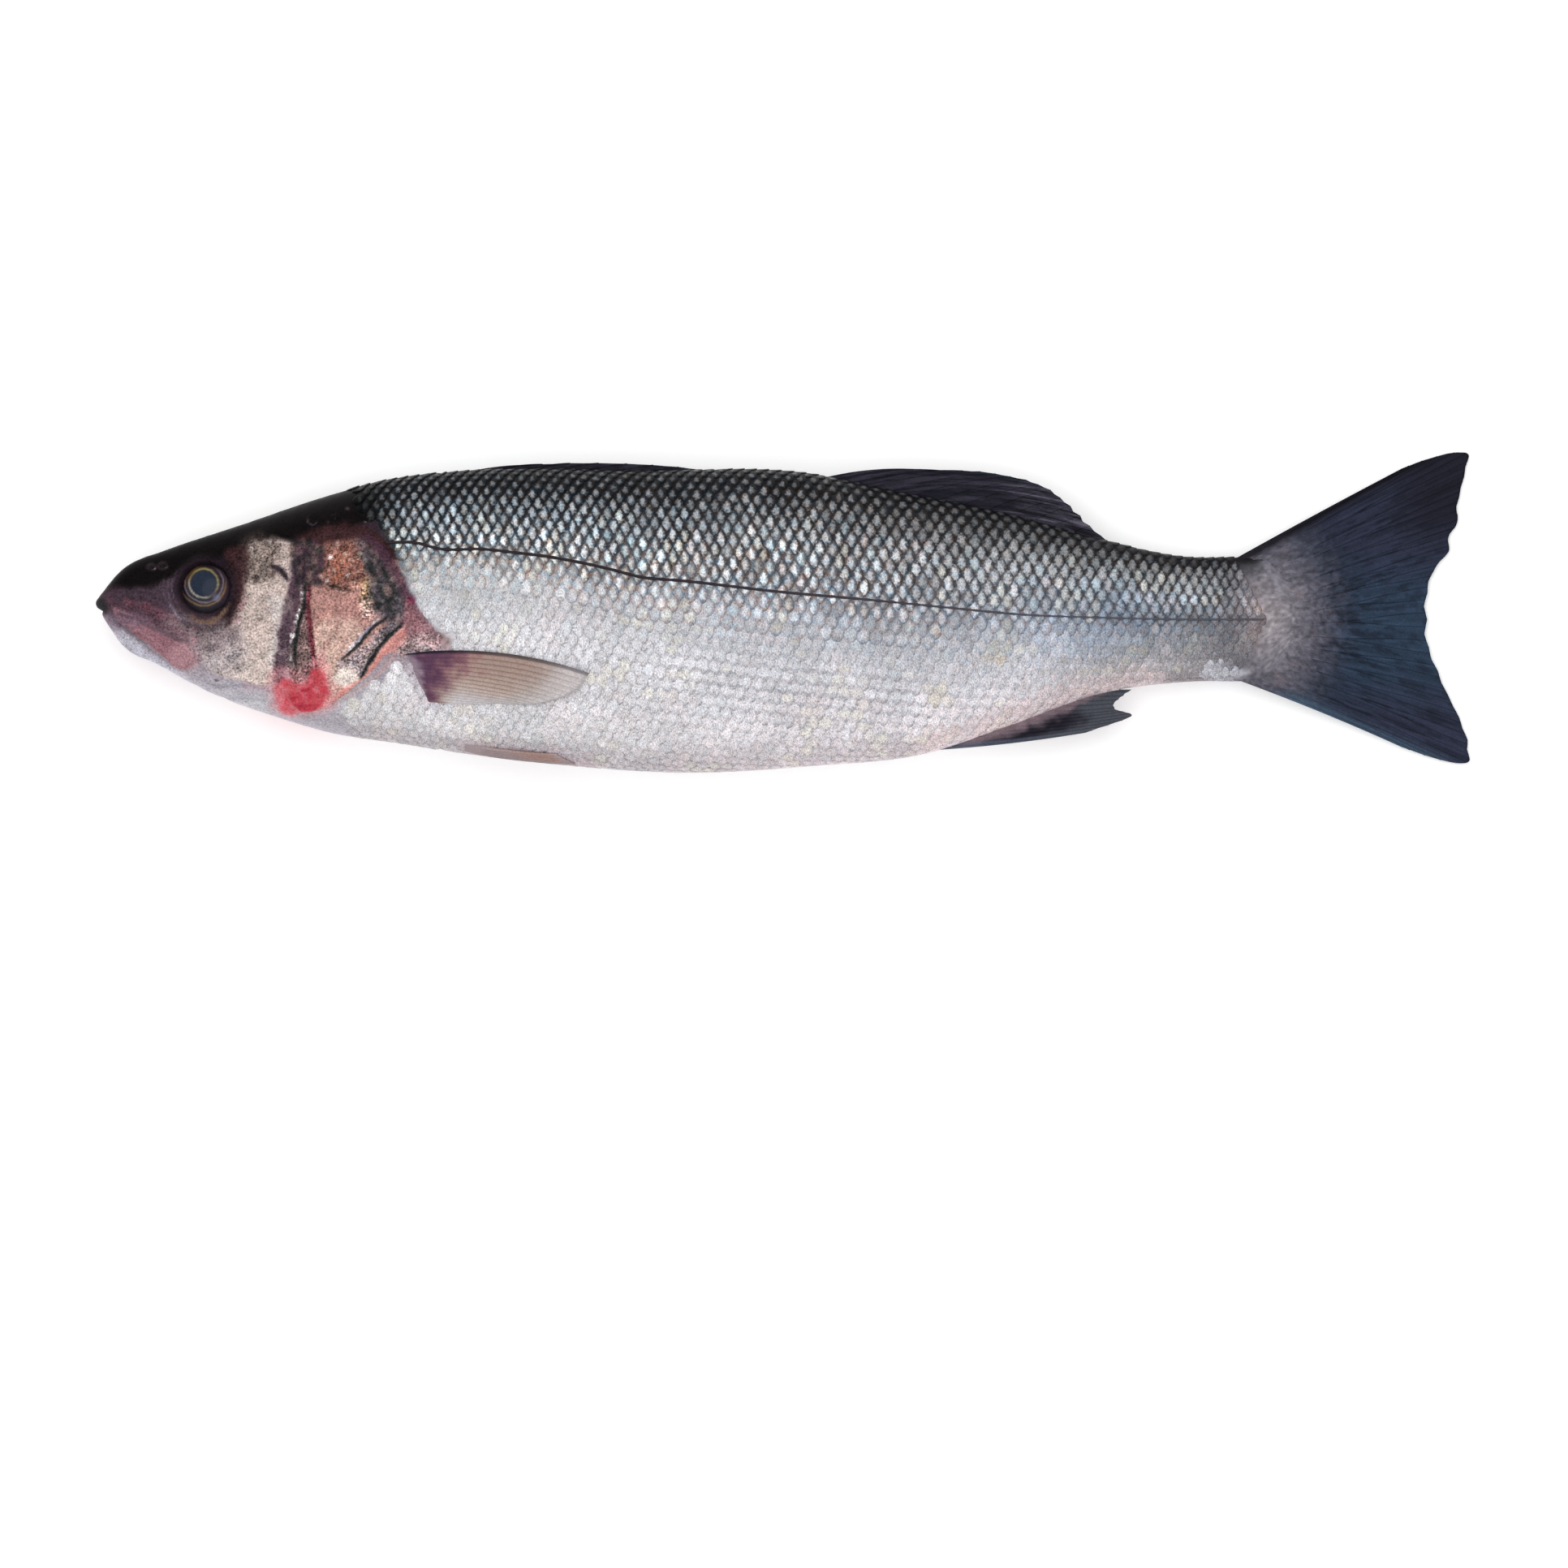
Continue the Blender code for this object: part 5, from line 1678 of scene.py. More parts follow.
def paint_pectoral(across: Array, along: Array, rib: Array, flat: Array) -> Array:
    """Purple and reddish root, beige blade with browner rays and a dark top edge."""
    grain = Grain(SEED + 4)
    x, y = flat[..., 0], flat[..., 1]
    mottle = 0.3 * (grain.layered(x, y, 2.5) - 0.5)
    tones = plain(FinTone.BEIGE, x.shape)
    tones = blend(tones, FinTone.BEIGE_END, smooth_step(0.6, 1, along))
    tones = blend(tones, FinTone.BEIGE_RAY, 0.35 * rib + 0.5 * (1 - smooth_step(0.1, 0.6, across)))
    tones = blend(tones, FinTone.BASE_RED, 0.9 * (1 - smooth_step(0.22, 0.56, along + mottle + 0.25 * across)))
    fade = smooth_step(0.45, 0.9, across + 0.5 * mottle) * smooth_step(0.2, 0.45, along)
    fade = np.maximum(fade, 0.85 * smooth_step(0.66, 1, along + 0.4 * mottle))
    tones = blend(tones, FinTone.FLANK_PALE, fade)
    tones = blend(tones, FinTone.BASE_PURPLE, 1 - smooth_step(0.16, 0.46, along + mottle + 0.12 * across))
    tones = blend(tones, FinTone.FLANK_PALE, 0.45 * (1 - smooth_step(0.06, 0.12, along + 0.4 * mottle)))
    return blend(tones, FinTone.DASH, 0.8 * (1 - smooth_step(0.015, 0.05, across)) * (1 - 0.5 * along))


def paint_pelvic(across: Array, along: Array, rib: Array, flat: Array) -> Array:
    """Mauve in front and reddish brown behind."""
    grain = Grain(SEED + 5)
    tones = plain(FinTone.STRIP_MAUVE, across.shape)
    tones = blend(tones, FinTone.STRIP_BROWN, smooth_step(0.3, 0.8, along))
    tones = blend(tones, FinTone.BEIGE_RAY, 0.5 * (1 - rib) * grain.layered(along * 20, across * 10, 2))
    ends = np.maximum(smooth_step(0.9, 1, along), 1 - smooth_step(0, 0.3, along))
    return blend(tones, FinTone.STRIP_MAUVE, 0.85 * np.maximum(ends, 1 - smooth_step(0.1, 0.5, across)))


def build_fins() -> None:
    """Makes all eight fins in order."""
    FinBlade(TAIL, paint_tail, fine=12, rows=70, ray_width=0.24, branches=True, ray_start=0.2).build()
    FinBlade(SECOND_DORSAL, paint_dorsal, rows=50, ray_width=0.2).build()
    FinBlade(FIRST_DORSAL, paint_dorsal, rows=24, ray_width=0.3).build()
    FinBlade(ANAL, paint_anal, rows=44, ray_width=0.22).build()
    for side, word in ((1, "left"), (-1, "right")):
        for shape, paint, lift, degrees in (
            (PECTORAL, paint_pectoral, PECTORAL_LIFT, False),
            (PELVIC, paint_pelvic, PELVIC_LIFT, True),
        ):
            named = replace(shape, name=f"{shape.name}_{word}")
            SideFin(named, paint, rows=40, ray_width=0.1, lift=lift, degrees=degrees, side=side).build()


LATERAL_LINE = (
    (-114.3, 20), (-107.1, 20), (-100.4, 18.3), (-86.8, 18.1), (-77.8, 17.1), (-68.7, 16), (-59.7, 14.4),
    (-50.6, 12.4), (-41.6, 10.1), (-29.5, 9), (-1.2, 5.8), (22.4, 3.7), (46, 1.4), (69.7, -0.8), (93.3, -1.7),
    (116.9, -2.2), (139.3, -2.2),
)
SCALE_PITCH = ((-130, 3.1), (-80, 3.3), (0, 3.6), (60, 3.8), (110, 3.3), (145, 2.5))
ROW_SPACING = ((-130, 3), (-110, 3.1), (0, 3.45), (60, 3.4), (118, 2.9), (145, 2.3))
SCALES_BEGIN = (
    (-40, -124), (-30, -127), (-26, -124), (-22, -119), (-18, -114.5), (-13.4, -109.5), (-12.4, -95),
    (-8, -95.4), (-4, -99), (0, -103.4), (3, -106.4), (13, -108.6), (20.7, -112.6), (25.4, -118),
    (29, -123), (42, -127),
)
SCALES_END = ((-22, 131), (-12, 136), (-2, 139.5), (8, 136.5), (13, 133.5), (18, 129))


class ScaleTint(Enum):
    """Tints that some scales' light centres lean towards, red, green and blue of 255."""

    CYAN = (186, 214, 222)
    CREAM = (226, 222, 196)
    PINK = (226, 204, 206)


@dataclass(frozen=True)
class ScaleFinish:
    """Wet scale: a light centre in a dark net, brighter and shorter in the fine spots.

    Args:
        name: the material's name.
        roughness: middle roughness.
        specular: strength of plain reflections.
        coat: clear wet layer over the light centres.
    """

    name: str
    roughness: float = 0.38
    specular: float = 0.03
    coat: float = 0.15

    def make(self) -> bpy.types.Material:
        """Builds the material."""
        material, make = start_material(self.name)
        size = make.stored("centre_size", "Vector")
        centre, centre_highlight = self.centre_mask(make, make.stored("scale_at", "Vector"), size)
        # the light centre is scaled by its painted highlight
        lit = make.scaled(make.stored("light", "Color"), centre_highlight)
        colour = make.mixed("MIX", centre, make.stored("net", "Color"), lit)
        power = make.add("ShaderNodeSeparateXYZ", {"Vector": size}).outputs["Z"]
        inputs = {
            "Colour": self.tint(make, colour, centre, power), "Spot size": 0.00055, "Spots": 0.9,
            "Roughness": self.roughness, "Stretch": 2,
        }
        grain = make.add("ShaderNodeGroup", inputs, node_tree=wet_grain_group()).outputs
        height = make.sum_of("MULTIPLY_ADD", centre, 0.5, grain["Height"])
        bump = make.add("ShaderNodeBump", {"Height": height, "Distance": 0.00012, "Strength": 1})
        set_surface(make, {
            "Base Color": grain["Colour"], "Roughness": grain["Roughness"], "Normal": bump.outputs["Normal"],
            "Coat Weight": make.sum_of("MULTIPLY", centre, self.coat),
            "Specular IOR Level": self.specular, "Coat Roughness": 0.2,
        })
        return material

    def tint(self, make: TreeMaker, colour: Socket, centre: Socket, power: Socket) -> Socket:
        """Drifts the colour between brownish and teal, most on the net and least where centres are square."""
        square = make.sum_of("MULTIPLY", make.sum_of("SUBTRACT", power, 2), 0.5)
        fade = make.sum_of("MULTIPLY_ADD", square, -0.8, 1)
        drift = make.noise(make.add("ShaderNodeTexCoord").outputs["Object"], 520)
        share = make.sum_of("MULTIPLY_ADD", make.sum_of("SUBTRACT", drift, 0.5), 3, 0.5)
        hue = make.mixed("MIX", share, (1.28, 0.99, 0.84, 1), (0.78, 1.02, 1.18, 1))
        strength = make.sum_of("MULTIPLY", make.sum_of("MULTIPLY_ADD", centre, -0.62, 1), fade)
        return make.mixed("MULTIPLY", strength, colour, hue)

    def centre_mask(self, make: TreeMaker, place: Socket, size: Socket) -> tuple[Socket, Socket]:
        """Mask of a scale's drop-shaped light centre, and a painted highlight across it: brighter towards its
        middle and darker towards its edge, most where the centre is round.
        """
        at = make.add("ShaderNodeSeparateXYZ", {"Vector": place}).outputs
        wide = make.add("ShaderNodeSeparateXYZ", {"Vector": size}).outputs
        upward = make.sum_of("DIVIDE", at["Y"], wide["Y"])
        lean = make.sum_of("MULTIPLY_ADD", wide["Z"], 0.13, -0.58)
        taper = make.sum_of("MAXIMUM", make.sum_of("MULTIPLY_ADD", upward, lean, 1), 0.3)
        reach = make.sum_of("MULTIPLY", wide["X"], taper)
        along = make.sum_of("ABSOLUTE", make.sum_of("DIVIDE", at["X"], reach))
        across = make.sum_of("ABSOLUTE", upward)
        power = wide["Z"]
        total = make.sum_of("ADD", make.sum_of("POWER", along, power), make.sum_of("POWER", across, power))
        distance = make.sum_of("POWER", total, make.sum_of("DIVIDE", 1, power))
        noise = make.noise(make.add("ShaderNodeTexCoord").outputs["Object"], 1100)
        wander = make.sum_of("MULTIPLY_ADD", make.sum_of("SUBTRACT", noise, 0.5), 1.8, distance)

        def falling(start: float, end: float, high: float, low: float) -> Socket:
            """Smooth fall from high to low as the distance grows from start to end."""
            inputs = {"Value": wander, "From Min": start, "From Max": end, "To Min": high, "To Max": low}
            return make.add("ShaderNodeMapRange", inputs, interpolation_type="SMOOTHSTEP").outputs["Result"]

        round_share = make.sum_of("MULTIPLY_ADD", power, -0.5, 2)
        centre_highlight = make.sum_of("MULTIPLY_ADD", falling(0, 1.1, 0.28, -0.26), round_share, 1)
        return falling(0.4, 1.3, 1, 0), centre_highlight


def scale_tree() -> bpy.types.NodeTree:
    """Geometry Nodes group that sets a scale on each point and bends it to the skin's curve."""
    name = "scales_on_skin"
    if name in bpy.data.node_groups:
        return bpy.data.node_groups[name]
    inputs = {
        "Places": ("Geometry", None), "Scale shape": ("Object", None), "Front skin": ("Object", None),
        "Rear skin": ("Object", None), "Turn": ("Float", 0.12), "Size change": ("Float", 0.06),
        "Seed": ("Int", SEED), "Material": ("Material", None),
    }
    make = start_group(name, "GeometryNodeTree", inputs, {"Scales": "Geometry"})
    given = make.add("NodeGroupInput").outputs

    def read(name: str, kind: str) -> Socket:
        """Output that reads a named value stored on the points."""
        return make.add("GeometryNodeInputNamedAttribute", {"Name": name}, data_type=kind).outputs[0]

    def random_about(middle: float, swing: Socket, offset: int) -> Socket:
        """Random number for each point, at most swing from the middle."""
        low = make.sum_of("SUBTRACT", middle, swing)
        high = make.sum_of("ADD", middle, swing)
        seed = make.add("FunctionNodeIntegerMath", {0: given["Seed"], 1: offset}, operation="ADD").outputs[0]
        node = make.add("FunctionNodeRandomValue", data_type="FLOAT")
        for value, socket in ((low, "Min_001"), (high, "Max_001"), (seed, "Seed")):
            target = next(item for item in node.inputs if item.identifier == socket)
            make.tree.links.new(value, target)
        return next(item for item in node.outputs if item.enabled and item.type == "VALUE")

    def shape_of(name: str) -> Socket:
        """Mesh of the object that an input names."""
        return make.add("GeometryNodeObjectInfo", {"Object": given[name]}).outputs["Geometry"]

    axes = {0: read("outward", "FLOAT_VECTOR"), 1: read("tailward", "FLOAT_VECTOR")}
    aim = make.add("FunctionNodeAxesToRotation", axes, primary_axis="Z", secondary_axis="X").outputs[0]
    swing = {"Axis": (0, 0, 1), "Angle": random_about(0, given["Turn"], 0)}
    turn = make.add("FunctionNodeAxisAngleToRotation", swing).outputs[0]
    turned = make.add("FunctionNodeRotateRotation", {0: aim, 1: turn}, rotation_space="LOCAL").outputs[0]
    sized = make.scaled(read("scale_size", "FLOAT_VECTOR"), random_about(1, given["Size change"], 1))
    shape = shape_of("Scale shape")
    parts = {"Points": given["Places"], "Instance": shape, "Rotation": turned, "Scale": sized}
    spread = make.add("GeometryNodeInstanceOnPoints", parts).outputs[0]
    real = make.add("GeometryNodeRealizeInstances", {"Geometry": spread}).outputs[0]
    both = make.add("GeometryNodeJoinGeometry")
    for skin in ("Front skin", "Rear skin"):
        make.tree.links.new(shape_of(skin), both.inputs[0])
    nearest = make.add("GeometryNodeProximity", {0: both.outputs[0]}, target_element="FACES")
    near = {0: both.outputs[0], "Value": make.add("GeometryNodeInputNormal").outputs[0]}
    outward = make.add("GeometryNodeSampleNearestSurface", near, data_type="FLOAT_VECTOR").outputs[0]
    stand = make.scaled(outward, make.sum_of("MULTIPLY", read("stand", "FLOAT"), read("relief", "FLOAT")))
    ends = {0: nearest.outputs["Position"], 1: stand}
    placed = make.add("ShaderNodeVectorMath", ends, operation="ADD").outputs[0]
    parts = make.add("ShaderNodeSeparateXYZ", {0: placed}).outputs
    raised = make.sum_of("MAXIMUM", parts["Z"], 0.00002)
    kept = make.add("ShaderNodeCombineXYZ", {"X": parts["X"], "Y": parts["Y"], "Z": raised}).outputs[0]
    bent = make.add("GeometryNodeSetPosition", {"Geometry": real, "Position": kept}).outputs[0]
    make.hand_out(bent, given["Material"], "Scales")
    return make.tree


@dataclass
class ScaleCoat:
    """Overlapping scales over one flank, in rows that run with the lateral line.

    Args:
        word: name of the side.
        side: 1 for the left flank and -1 for the right one.
        skins: the head's and the trunk's skin, which the scales lie on.
        rows_up: how many rows lie above the lateral line.
        rows_down: how many rows lie below it.
    """

    word: str
    side: int
    skins: tuple[Item, Item]
    rows_up: int = 16
    rows_down: int = 26

    def build(self) -> None:
        """Makes the scales of this flank as one piece."""
        x, angle, row = self.lattice()
        points, outward = BODY.skin_point(x, angle), BODY.skin_normal(x, angle)
        ahead = BODY.skin_point(x + 1, angle) - BODY.skin_point(x - 1, angle)
        tailward = ahead - outward * np.sum(ahead * outward, axis=1, keepdims=True)
        item = make_object(f"scales_{self.word}", points)
        size, centre = self.sizes(x, points[:, 1], row)
        named = {"outward": outward, "tailward": tailward, "scale_size": size, "centre_size": centre}
        for name, values in named.items():
            add_vector(item, name, values)
        flat = np.maximum(0.8 * smooth_step(-0.5, -5, row), 0.8 * smooth_step(126, 140, x))
        add_number(item, "relief", 1 - flat)
        light, net = self.tones(x, points[:, 1], row)
        add_colour(item, "light", to_linear(light, outward[:, 2]))
        add_colour(item, "net", to_linear(net, outward[:, 2]))
        shape = self.one_scale()
        finish = ScaleFinish(f"scales_{self.word}_finish").make()
        settings = {
            "Scale shape": shape, "Front skin": self.skins[0], "Rear skin": self.skins[1], "Turn": 0.09,
            "Size change": 0.05, "Seed": SEED + self.side, "Material": finish,
        }
        run_tree(item, scale_tree(), settings)
        bpy.data.objects.remove(shape)
        hand_over(item, "skin", "fish")

    def lattice(self) -> tuple[Array, Array, Array]:
        """x, angle and row number of every scale; row 0 is the lateral line."""
        fine_x = np.linspace(-131, 146, 800)
        column = np.concatenate([[0], np.cumsum(np.diff(fine_x) / smooth_curve(SCALE_PITCH, fine_x[1:]))])
        turns = np.linspace(-math.pi / 2, math.pi / 2, 361)
        places = []
        for row in range(-self.rows_down, self.rows_up + 1):
            numbers = np.arange(0, column[-1]) + (0.5 if row % 2 else 0)
            for x in np.interp(numbers, column, fine_x):
                ring = BODY.skin_point(np.full(turns.shape, x), turns)
                length = np.concatenate([[0], np.cumsum(np.linalg.norm(np.diff(ring, axis=0), axis=1))])
                zero = np.interp(smooth_curve(LATERAL_LINE, x), ring[:, 1], length)
                target = zero + row * smooth_curve(ROW_SPACING, x)
                if not 0.6 < target < length[-1] - 0.6:
                    continue
                angle = np.interp(target, length, turns)
                y = np.interp(target, length, ring[:, 1])
                begin = np.interp(y, *zip(*SCALES_BEGIN))
                end = np.interp(y, *zip(*SCALES_END))
                if begin < x < end:
                    places.append((x, angle if self.side > 0 else math.pi - angle, row))
        table = np.array(places)
        return table[:, 0], table[:, 1], table[:, 2]

    def sizes(self, x: Array, y: Array, row: Array) -> tuple[Array, Array]:
        """Size of each scale and of its light centre, in millimetres, with the centre's squareness."""
        pitch, spacing = smooth_curve(SCALE_PITCH, x), smooth_curve(ROW_SPACING, x)
        grain = Grain(SEED + 10)
        share = BODY.height_share(x, y)
        low = smooth_step(-0.5, -5, row.astype(float))
        top = smooth_step(0.86, 0.97, share)
        vary = 0.9 + 0.25 * grain.at(x, y, 1.1)
        size = np.column_stack([pitch / 3.3, spacing / 3.15, np.ones(len(x))])
        belly = smooth_step(-8, -14, row.astype(float))
        front = smooth_step(-15, -65, x)
        rear = smooth_step(0, 80, x) * (1 - low)
        along = (0.98 + 0.12 * rear + (1.6 - front) * low + 0.8 * front * belly - 0.24 * top) * vary
        lean = (front - 0.75) * low + 0.8 * belly * (1 - front)
        across = (2.1 + 0.22 * rear + lean - 0.85 * top) * (0.9 + 0.2 * grain.at(x + 50, y, 1.1))
        return size, np.column_stack([along, across, 2 + 2 * low + 0.9 * rear])

    def tones(self, x: Array, y: Array, row: Array) -> tuple[Array, Array]:
        """Light and net tone of each scale, with tints that drift over the flank."""
        light, net = flank_colours(x, y)
        grain = Grain(SEED + 11)
        drift = grain.layered(x, y, 9)
        single = grain.at(x * 3.1, y * 3.1, 1.3)
        mix = 0.6 * drift + 0.4 * single
        above = smooth_step(-6, 1, row.astype(float)) * (1 - 0.45 * smooth_step(0, 80, x))
        blue = (0.12 + 0.3 * above) * smooth_step(0.56, 0.72, mix)
        light = blend(light, ScaleTint.CYAN, blue * self.pale(light))
        light = blend(light, ScaleTint.CREAM, 0.3 * smooth_step(0.44, 0.3, mix) * self.pale(light))
        pink = grain.layered(x + 200, y, 7)
        light = blend(light, ScaleTint.PINK, 0.22 * smooth_step(0.6, 0.75, pink) * self.pale(light))
        light = light * (1 - 0.08 * smooth_step(0, 80, x) * smooth_step(-6, 1, row.astype(float)))[:, None]
        below = smooth_step(0.5, -1.5, row.astype(float)) * smooth_step(-8, -4, row.astype(float))
        light, net = light * (1 - 0.1 * below)[:, None], net * (1 + 0.14 * below)[:, None]
        swing = 0.08 + 0.4 * above
        shade = 1 - 0.5 * swing + swing * grain.at(x * 2.7 + 70, y * 2.7, 1.2)
        begin = np.interp(y, *zip(*SCALES_BEGIN))
        nape = 1 - 0.75 * smooth_step(14, 0, x - begin) * smooth_step(22, 30, y)
        return light * (shade * nape)[:, None], net * (nape * (1 + 0.3 * above * (2 * single - 1)))[:, None]

    def pale(self, light: Array) -> Array:
        """How pale a tone is, so that tints leave dark scales alone."""
        return smooth_step(110, 190, light.mean(axis=1))

    def one_scale(self) -> Item:
        """A thin closed shield, rounded towards the tail, with its coordinates and height above the skin."""
        count = 12
        turns = [2 * math.pi * step / count for step in range(count)]
        outline = np.array([(self.scale_edge(math.cos(turn)), 2.5 * math.sin(turn)) for turn in turns])
        middle = np.array([[0.1, 0]])
        flat = np.vstack([middle, middle + 0.6 * (outline - middle), outline, outline * 1.01, middle])
        slope = 0.09
        stand = 0.06 + slope * (flat[:, 0] + 2.6)
        stand += 0.05 * (1 - (flat[:, 1] / 2.5) ** 2)
        low = 1 + 2 * count
        stand[low:] = np.minimum(stand[low:] - 0.2, 0) - 0.05
        faces = []
        for step in range(count):
            after = (step + 1) % count
            faces.append((0, 1 + step, 1 + after))
            for ring in (0, 1):
                here = 1 + ring * count
                faces.append((here + step, here + count + step, here + count + after, here + after))
            faces.append((1 + 3 * count, low + after, low + step))
        item = make_object("one_scale", np.column_stack([flat, 0.01 * stand]), faces)
        across = flat[:, 1] * self.side
        add_vector(item, "scale_at", np.column_stack([flat[:, 0] - 0.12, across, np.zeros(len(flat))]))
        add_number(item, "stand", stand * MM)
        return item

    def scale_edge(self, toward_tail: float) -> float:
        """How far the scale's edge lies from its middle, long towards the head where it is covered."""
        return 1.72 * toward_tail if toward_tail > 0 else 2.5 * toward_tail


@dataclass
class LateralLine:
    """Dark beaded line along each flank."""

    word: str
    side: int

    def build(self) -> None:
        """Makes the line as one rod that swells at each scale."""
        x = np.arange(-115.5, 140, 0.45)
        y = smooth_curve(LATERAL_LINE, x)
        angle = BODY.flank_angle(x, y)
        angle = angle if self.side > 0 else math.pi - angle
        lift = 0.5
        points = BODY.skin_point(x, angle) + BODY.skin_normal(x, angle) * lift
        points[:, 2] = np.maximum(points[:, 2], 0.5)
        rear = smooth_step(-60, 110, x)
        bead = 0.5 + 0.5 * np.cos(2 * math.pi * x / 3.5)
        width = (0.5 - 0.24 * rear) * (0.72 + 0.4 * bead * (0.6 + 0.6 * rear))
        tone = np.array((44, 36, 40)) * (1 - rear)[:, None] + np.array((84, 84, 96)) * rear[:, None]
        rods = RodSet(f"lateral_line_{self.word}", [points], [tone], [width])
        rods.build(WetFinish(f"lateral_line_{self.word}_finish", 0.5, 0.1, 0.0004, 0.4), "skin")


class EyeTone(Enum):
    """Paint tones of the eye, red, green and blue of 255."""

    PUPIL = (33, 41, 57)
    RING_YELLOW = (158, 158, 88)
    RING_WHITE = (170, 166, 156)
    IRIS_ORANGE = (82, 62, 40)
    IRIS_PURPLE = (62, 50, 58)
    IRIS_LOW = (46, 44, 50)
    IRIS_LAVENDER = (100, 108, 146)
    FOLD = (128, 116, 126)
    TAN = (138, 108, 74)
    LID = (26, 20, 26)


@dataclass
class Eye:
    """One eye: a flattened ball in its socket with a dark pupil, a thin yellow ring and a brown iris."""

    word: str
    side: int
    rings: int = 60
    segments: int = 96
    item: Item | None = None

    def build(self) -> None:
        """Makes and paints the ball."""
        angle = BODY.flank_angle(EYE_X, EYE_Y)
        angle = angle if self.side > 0 else math.pi - angle
        skin, normal = BODY.skin_point(EYE_X, angle), BODY.skin_normal(EYE_X, angle)
        centre = skin - normal * (EYE_HALF_DEPTH - EYE_STANDS_OUT)
        along = np.cross([0, 1, 0], normal)
        along /= np.linalg.norm(along)
        up = np.cross(normal, along)
        polar = math.pi * np.arange(1, self.rings)[:, None, None] / self.rings
        turn = 2 * math.pi * np.arange(self.segments)[:, None] / self.segments
        out = EYE_RADIUS * np.sin(polar) * (np.cos(turn) * along + np.sin(turn) * up)
        rings = centre + out + normal * EYE_HALF_DEPTH * np.cos(polar)
        ends = [centre + normal * EYE_HALF_DEPTH, centre - normal * EYE_HALF_DEPTH]
        points = np.vstack([rings.reshape(-1, 3), ends])
        self.item = make_object(f"eyeball_{self.word}", points, tube_faces(self.rings - 1, self.segments))
        tones = self.tones(points[:, 0] - EYE_X + 0.3, points[:, 1] - EYE_Y - 1.3)
        add_colour(self.item, "paint", to_linear(tones))
        add_number(self.item, "wet", np.ones(len(points)))
        finish = WetFinish(f"eyeball_{self.word}_finish", 0.3, 0.05, 0.0005, 0.35, 0.00001, 0.12)
        dress(self.item, finish.make())
        hand_over(self.item, "eye", f"eye_{self.word}")

    def tones(self, x: Array, y: Array) -> Array:
        """Tones at each place, measured from the middle of the pupil."""
        grain = Grain(SEED + 6)
        radius = np.hypot(x, y) + 0.25 * (grain.layered(x, y, 1.4) - 0.5)
        turn = np.arctan2(y, x)
        tones = plain(EyeTone.IRIS_PURPLE, x.shape)
        mottle = 0.5 * (grain.layered(x, y, 1.2) - 0.5)
        tones = blend(tones, EyeTone.IRIS_ORANGE, smooth_step(0.2, 0.9, np.cos(turn - 2.2) + mottle))
        tones = blend(tones, EyeTone.IRIS_LOW, smooth_step(0.2, 0.9, np.cos(turn + 1.9) + mottle))
        glow = 1 - smooth_step(0.5, 1.6, np.hypot(x - 3.9, y + 4.2))
        tones = blend(tones, EyeTone.IRIS_LAVENDER, 0.8 * glow)
        for reach, width, tone, toward in (
            (5, 0.35, EyeTone.LID, 0.5), (5.5, 0.3, EyeTone.FOLD, 3.6), (6.1, 0.4, EyeTone.LID, 3.4),
            (6.7, 0.35, EyeTone.TAN, 2.6), (6.5, 0.4, EyeTone.TAN, -1.2), (5.7, 0.3, EyeTone.FOLD, -0.6),
        ):
            arc = 1 - smooth_step(0.3 * width, width, np.abs(radius + 0.5 * mottle - reach))
            tones = blend(tones, tone, 0.75 * arc * smooth_step(-0.1, 0.7, np.cos(turn - toward)))
        tones = blend(tones, EyeTone.LID, smooth_step(4.4, 5.8, y + 0.15 * x))
        ring = 1 - smooth_step(0.12, 0.4, np.abs(radius - 4.2))
        tones = blend(tones, EyeTone.RING_YELLOW, 0.6 * ring * smooth_step(-0.4, 0.6, np.cos(turn - 0.9)))
        tones = blend(tones, EyeTone.RING_WHITE, 0.8 * ring * smooth_step(0, 0.8, np.cos(turn + 2.3)))
        tones = blend(tones, EyeTone.PUPIL, 1 - smooth_step(3.6, 4, radius))
        return tones


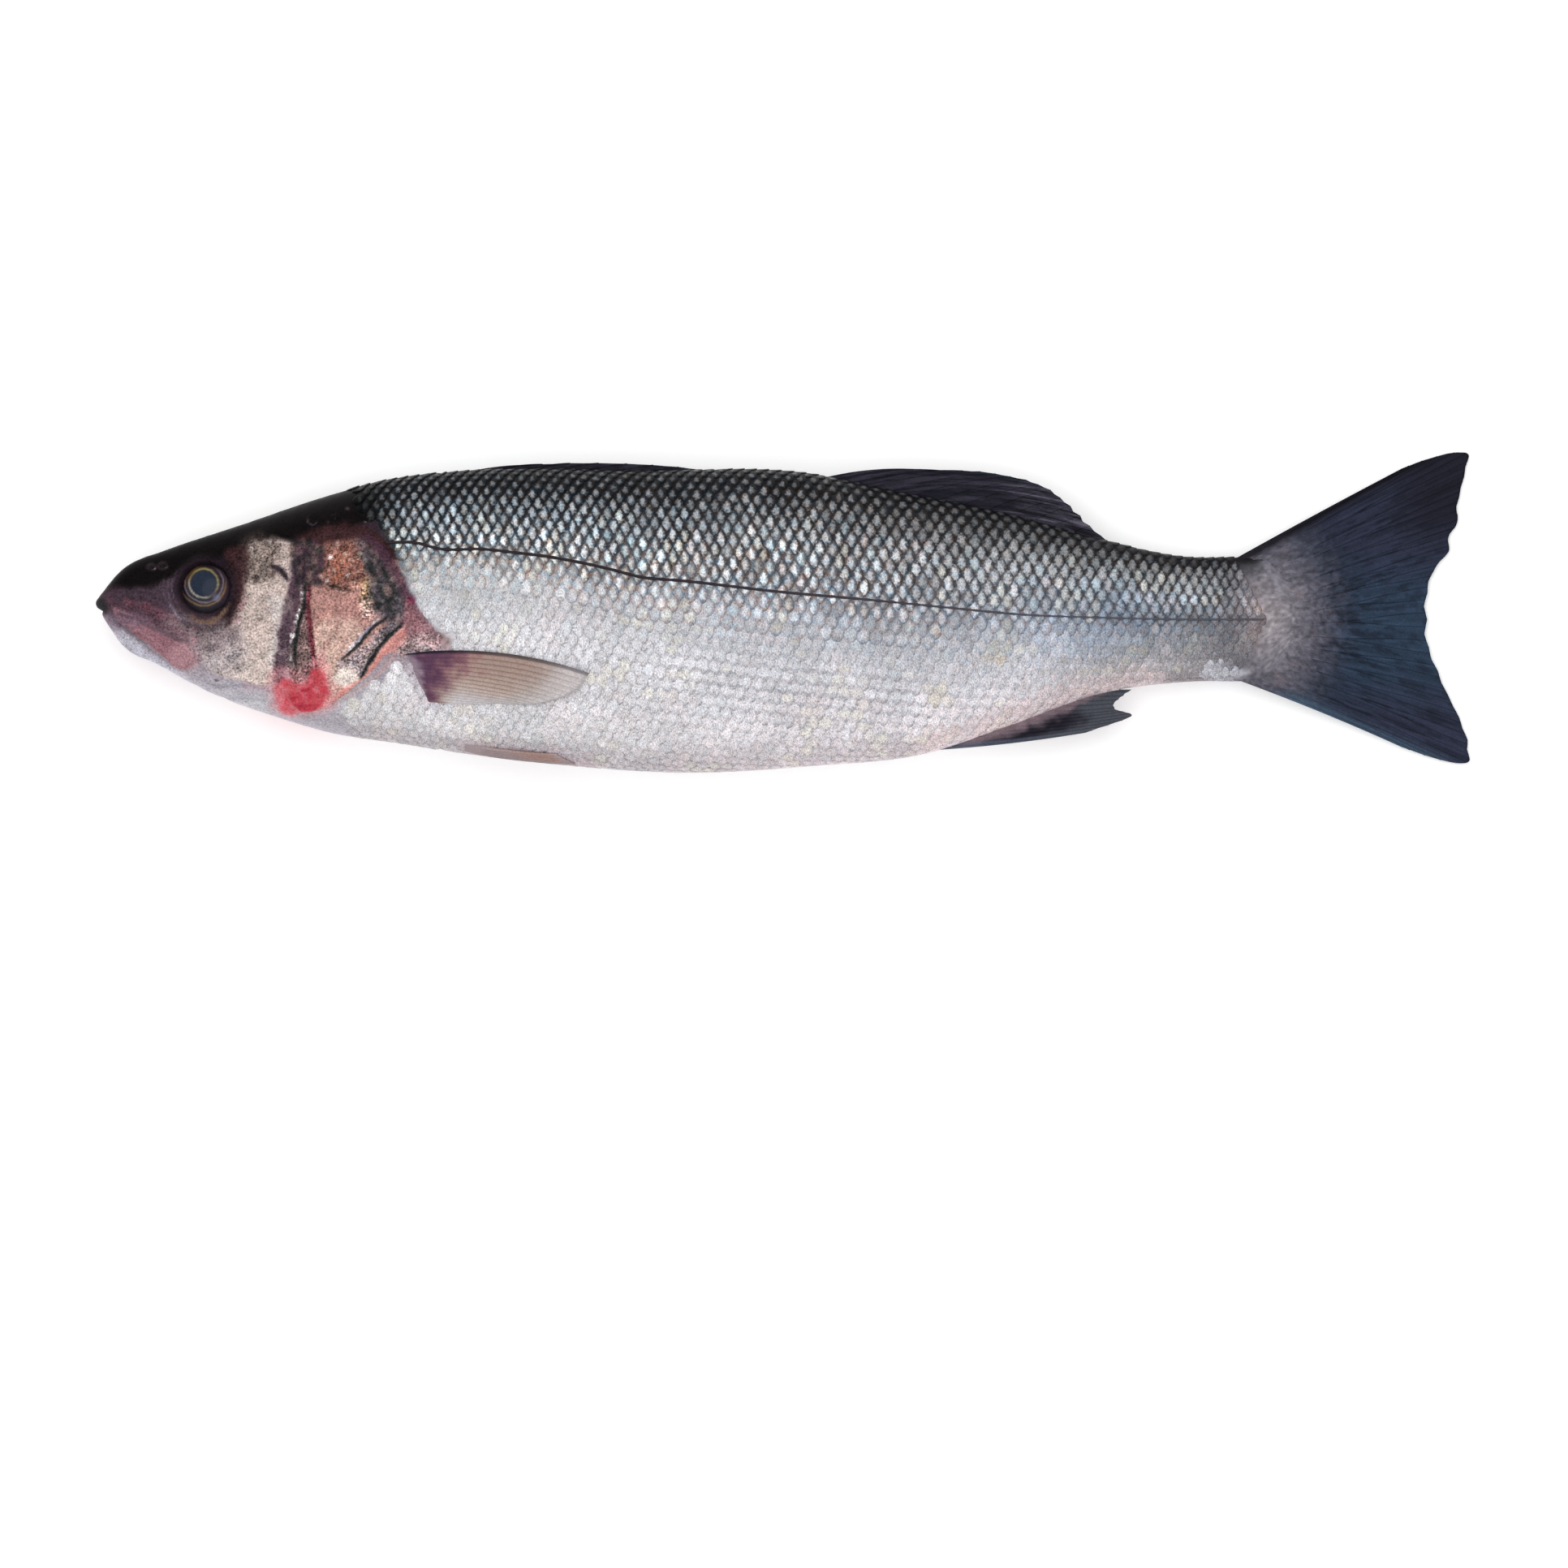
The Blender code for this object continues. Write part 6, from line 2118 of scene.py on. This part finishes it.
@dataclass
class Studio:
    """Plain pale floor, soft light from above and the camera looking straight down."""

    frame_width: float = PICTURE_WIDTH * FISH_LENGTH / FISH_WIDTH
    aim: tuple[float, float] = (0.24, -50.1)
    floor_half: float = 3000.0
    floor_height: float = -0.3
    sky_strength: float = 0.66
    lamp_size: float = 1.4
    lamp_energy: float = 9.0
    lamp_place: tuple[float, float, float] = (-0.12, 0.22, 1.1)
    camera_height: float = 0.8

    def build(self) -> None:
        """Makes the floor, the lights and the camera."""
        self.make_floor()
        self.make_lights()
        self.make_camera()
        settings = bpy.context.scene.view_settings
        settings.view_transform = "Standard"
        settings.look = "None"

    def make_floor(self) -> None:
        """White matt floor far wider than the picture."""
        half, level = self.floor_half, self.floor_height
        corners = [(-half, -half, level), (half, -half, level), (half, half, level), (-half, half, level)]
        floor = make_object("studio_floor", corners, [(0, 1, 2, 3)])
        material, make = start_material("studio_floor_finish")
        set_surface(make, {
            "Base Color": (0.92, 0.92, 0.92, 1), "Roughness": 0.9, "Specular IOR Level": 0,
            "Emission Color": (1, 1, 1, 1), "Emission Strength": 0.22,
        })
        dress(floor, material)

    def make_lights(self) -> None:
        """A pale sky and one wide lamp, high and a little to the upper left."""
        world = bpy.data.worlds.new("studio_sky")
        world.use_nodes = True
        sky = world.node_tree.nodes["Background"]
        sky.inputs["Color"].default_value = (1, 1, 1, 1)
        sky.inputs["Strength"].default_value = self.sky_strength
        bpy.context.scene.world = world
        lamp = bpy.data.lights.new("studio_lamp", "AREA")
        lamp.shape = "DISK"
        lamp.size = self.lamp_size
        lamp.energy = self.lamp_energy
        item = bpy.data.objects.new("studio_lamp", lamp)
        item.location = self.lamp_place
        right, back, up = self.lamp_place
        item.rotation_euler = (math.atan2(math.hypot(right, back), up), 0, math.atan2(-right, back) + math.pi)
        bpy.context.scene.collection.objects.link(item)

    def make_camera(self) -> None:
        """Camera straight above the floor with the picture's top towards +Y."""
        lens = bpy.data.cameras.new("studio_camera")
        lens.type = "ORTHO"
        lens.ortho_scale = self.frame_width * MM
        camera = bpy.data.objects.new("studio_camera", lens)
        camera.location = (self.aim[0] * MM, self.aim[1] * MM, self.camera_height)
        bpy.context.scene.collection.objects.link(camera)
        bpy.context.scene.camera = camera


def main() -> None:
    """Builds every piece in order."""
    logging.basicConfig(level=logging.INFO, format="%(message)s")
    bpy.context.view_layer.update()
    head, trunk = HeadSkin(), TrunkSkin()
    head.build()
    trunk.build()
    for word, side in (("left", 1), ("right", -1)):
        ScaleCoat(word, side, (head.item, trunk.item)).build()
        LateralLine(word, side).build()
    build_fins()
    for word, side in (("left", 1), ("right", -1)):
        Eye(word, side).build()
    Studio().build()


if __name__ == "__main__":
    main()
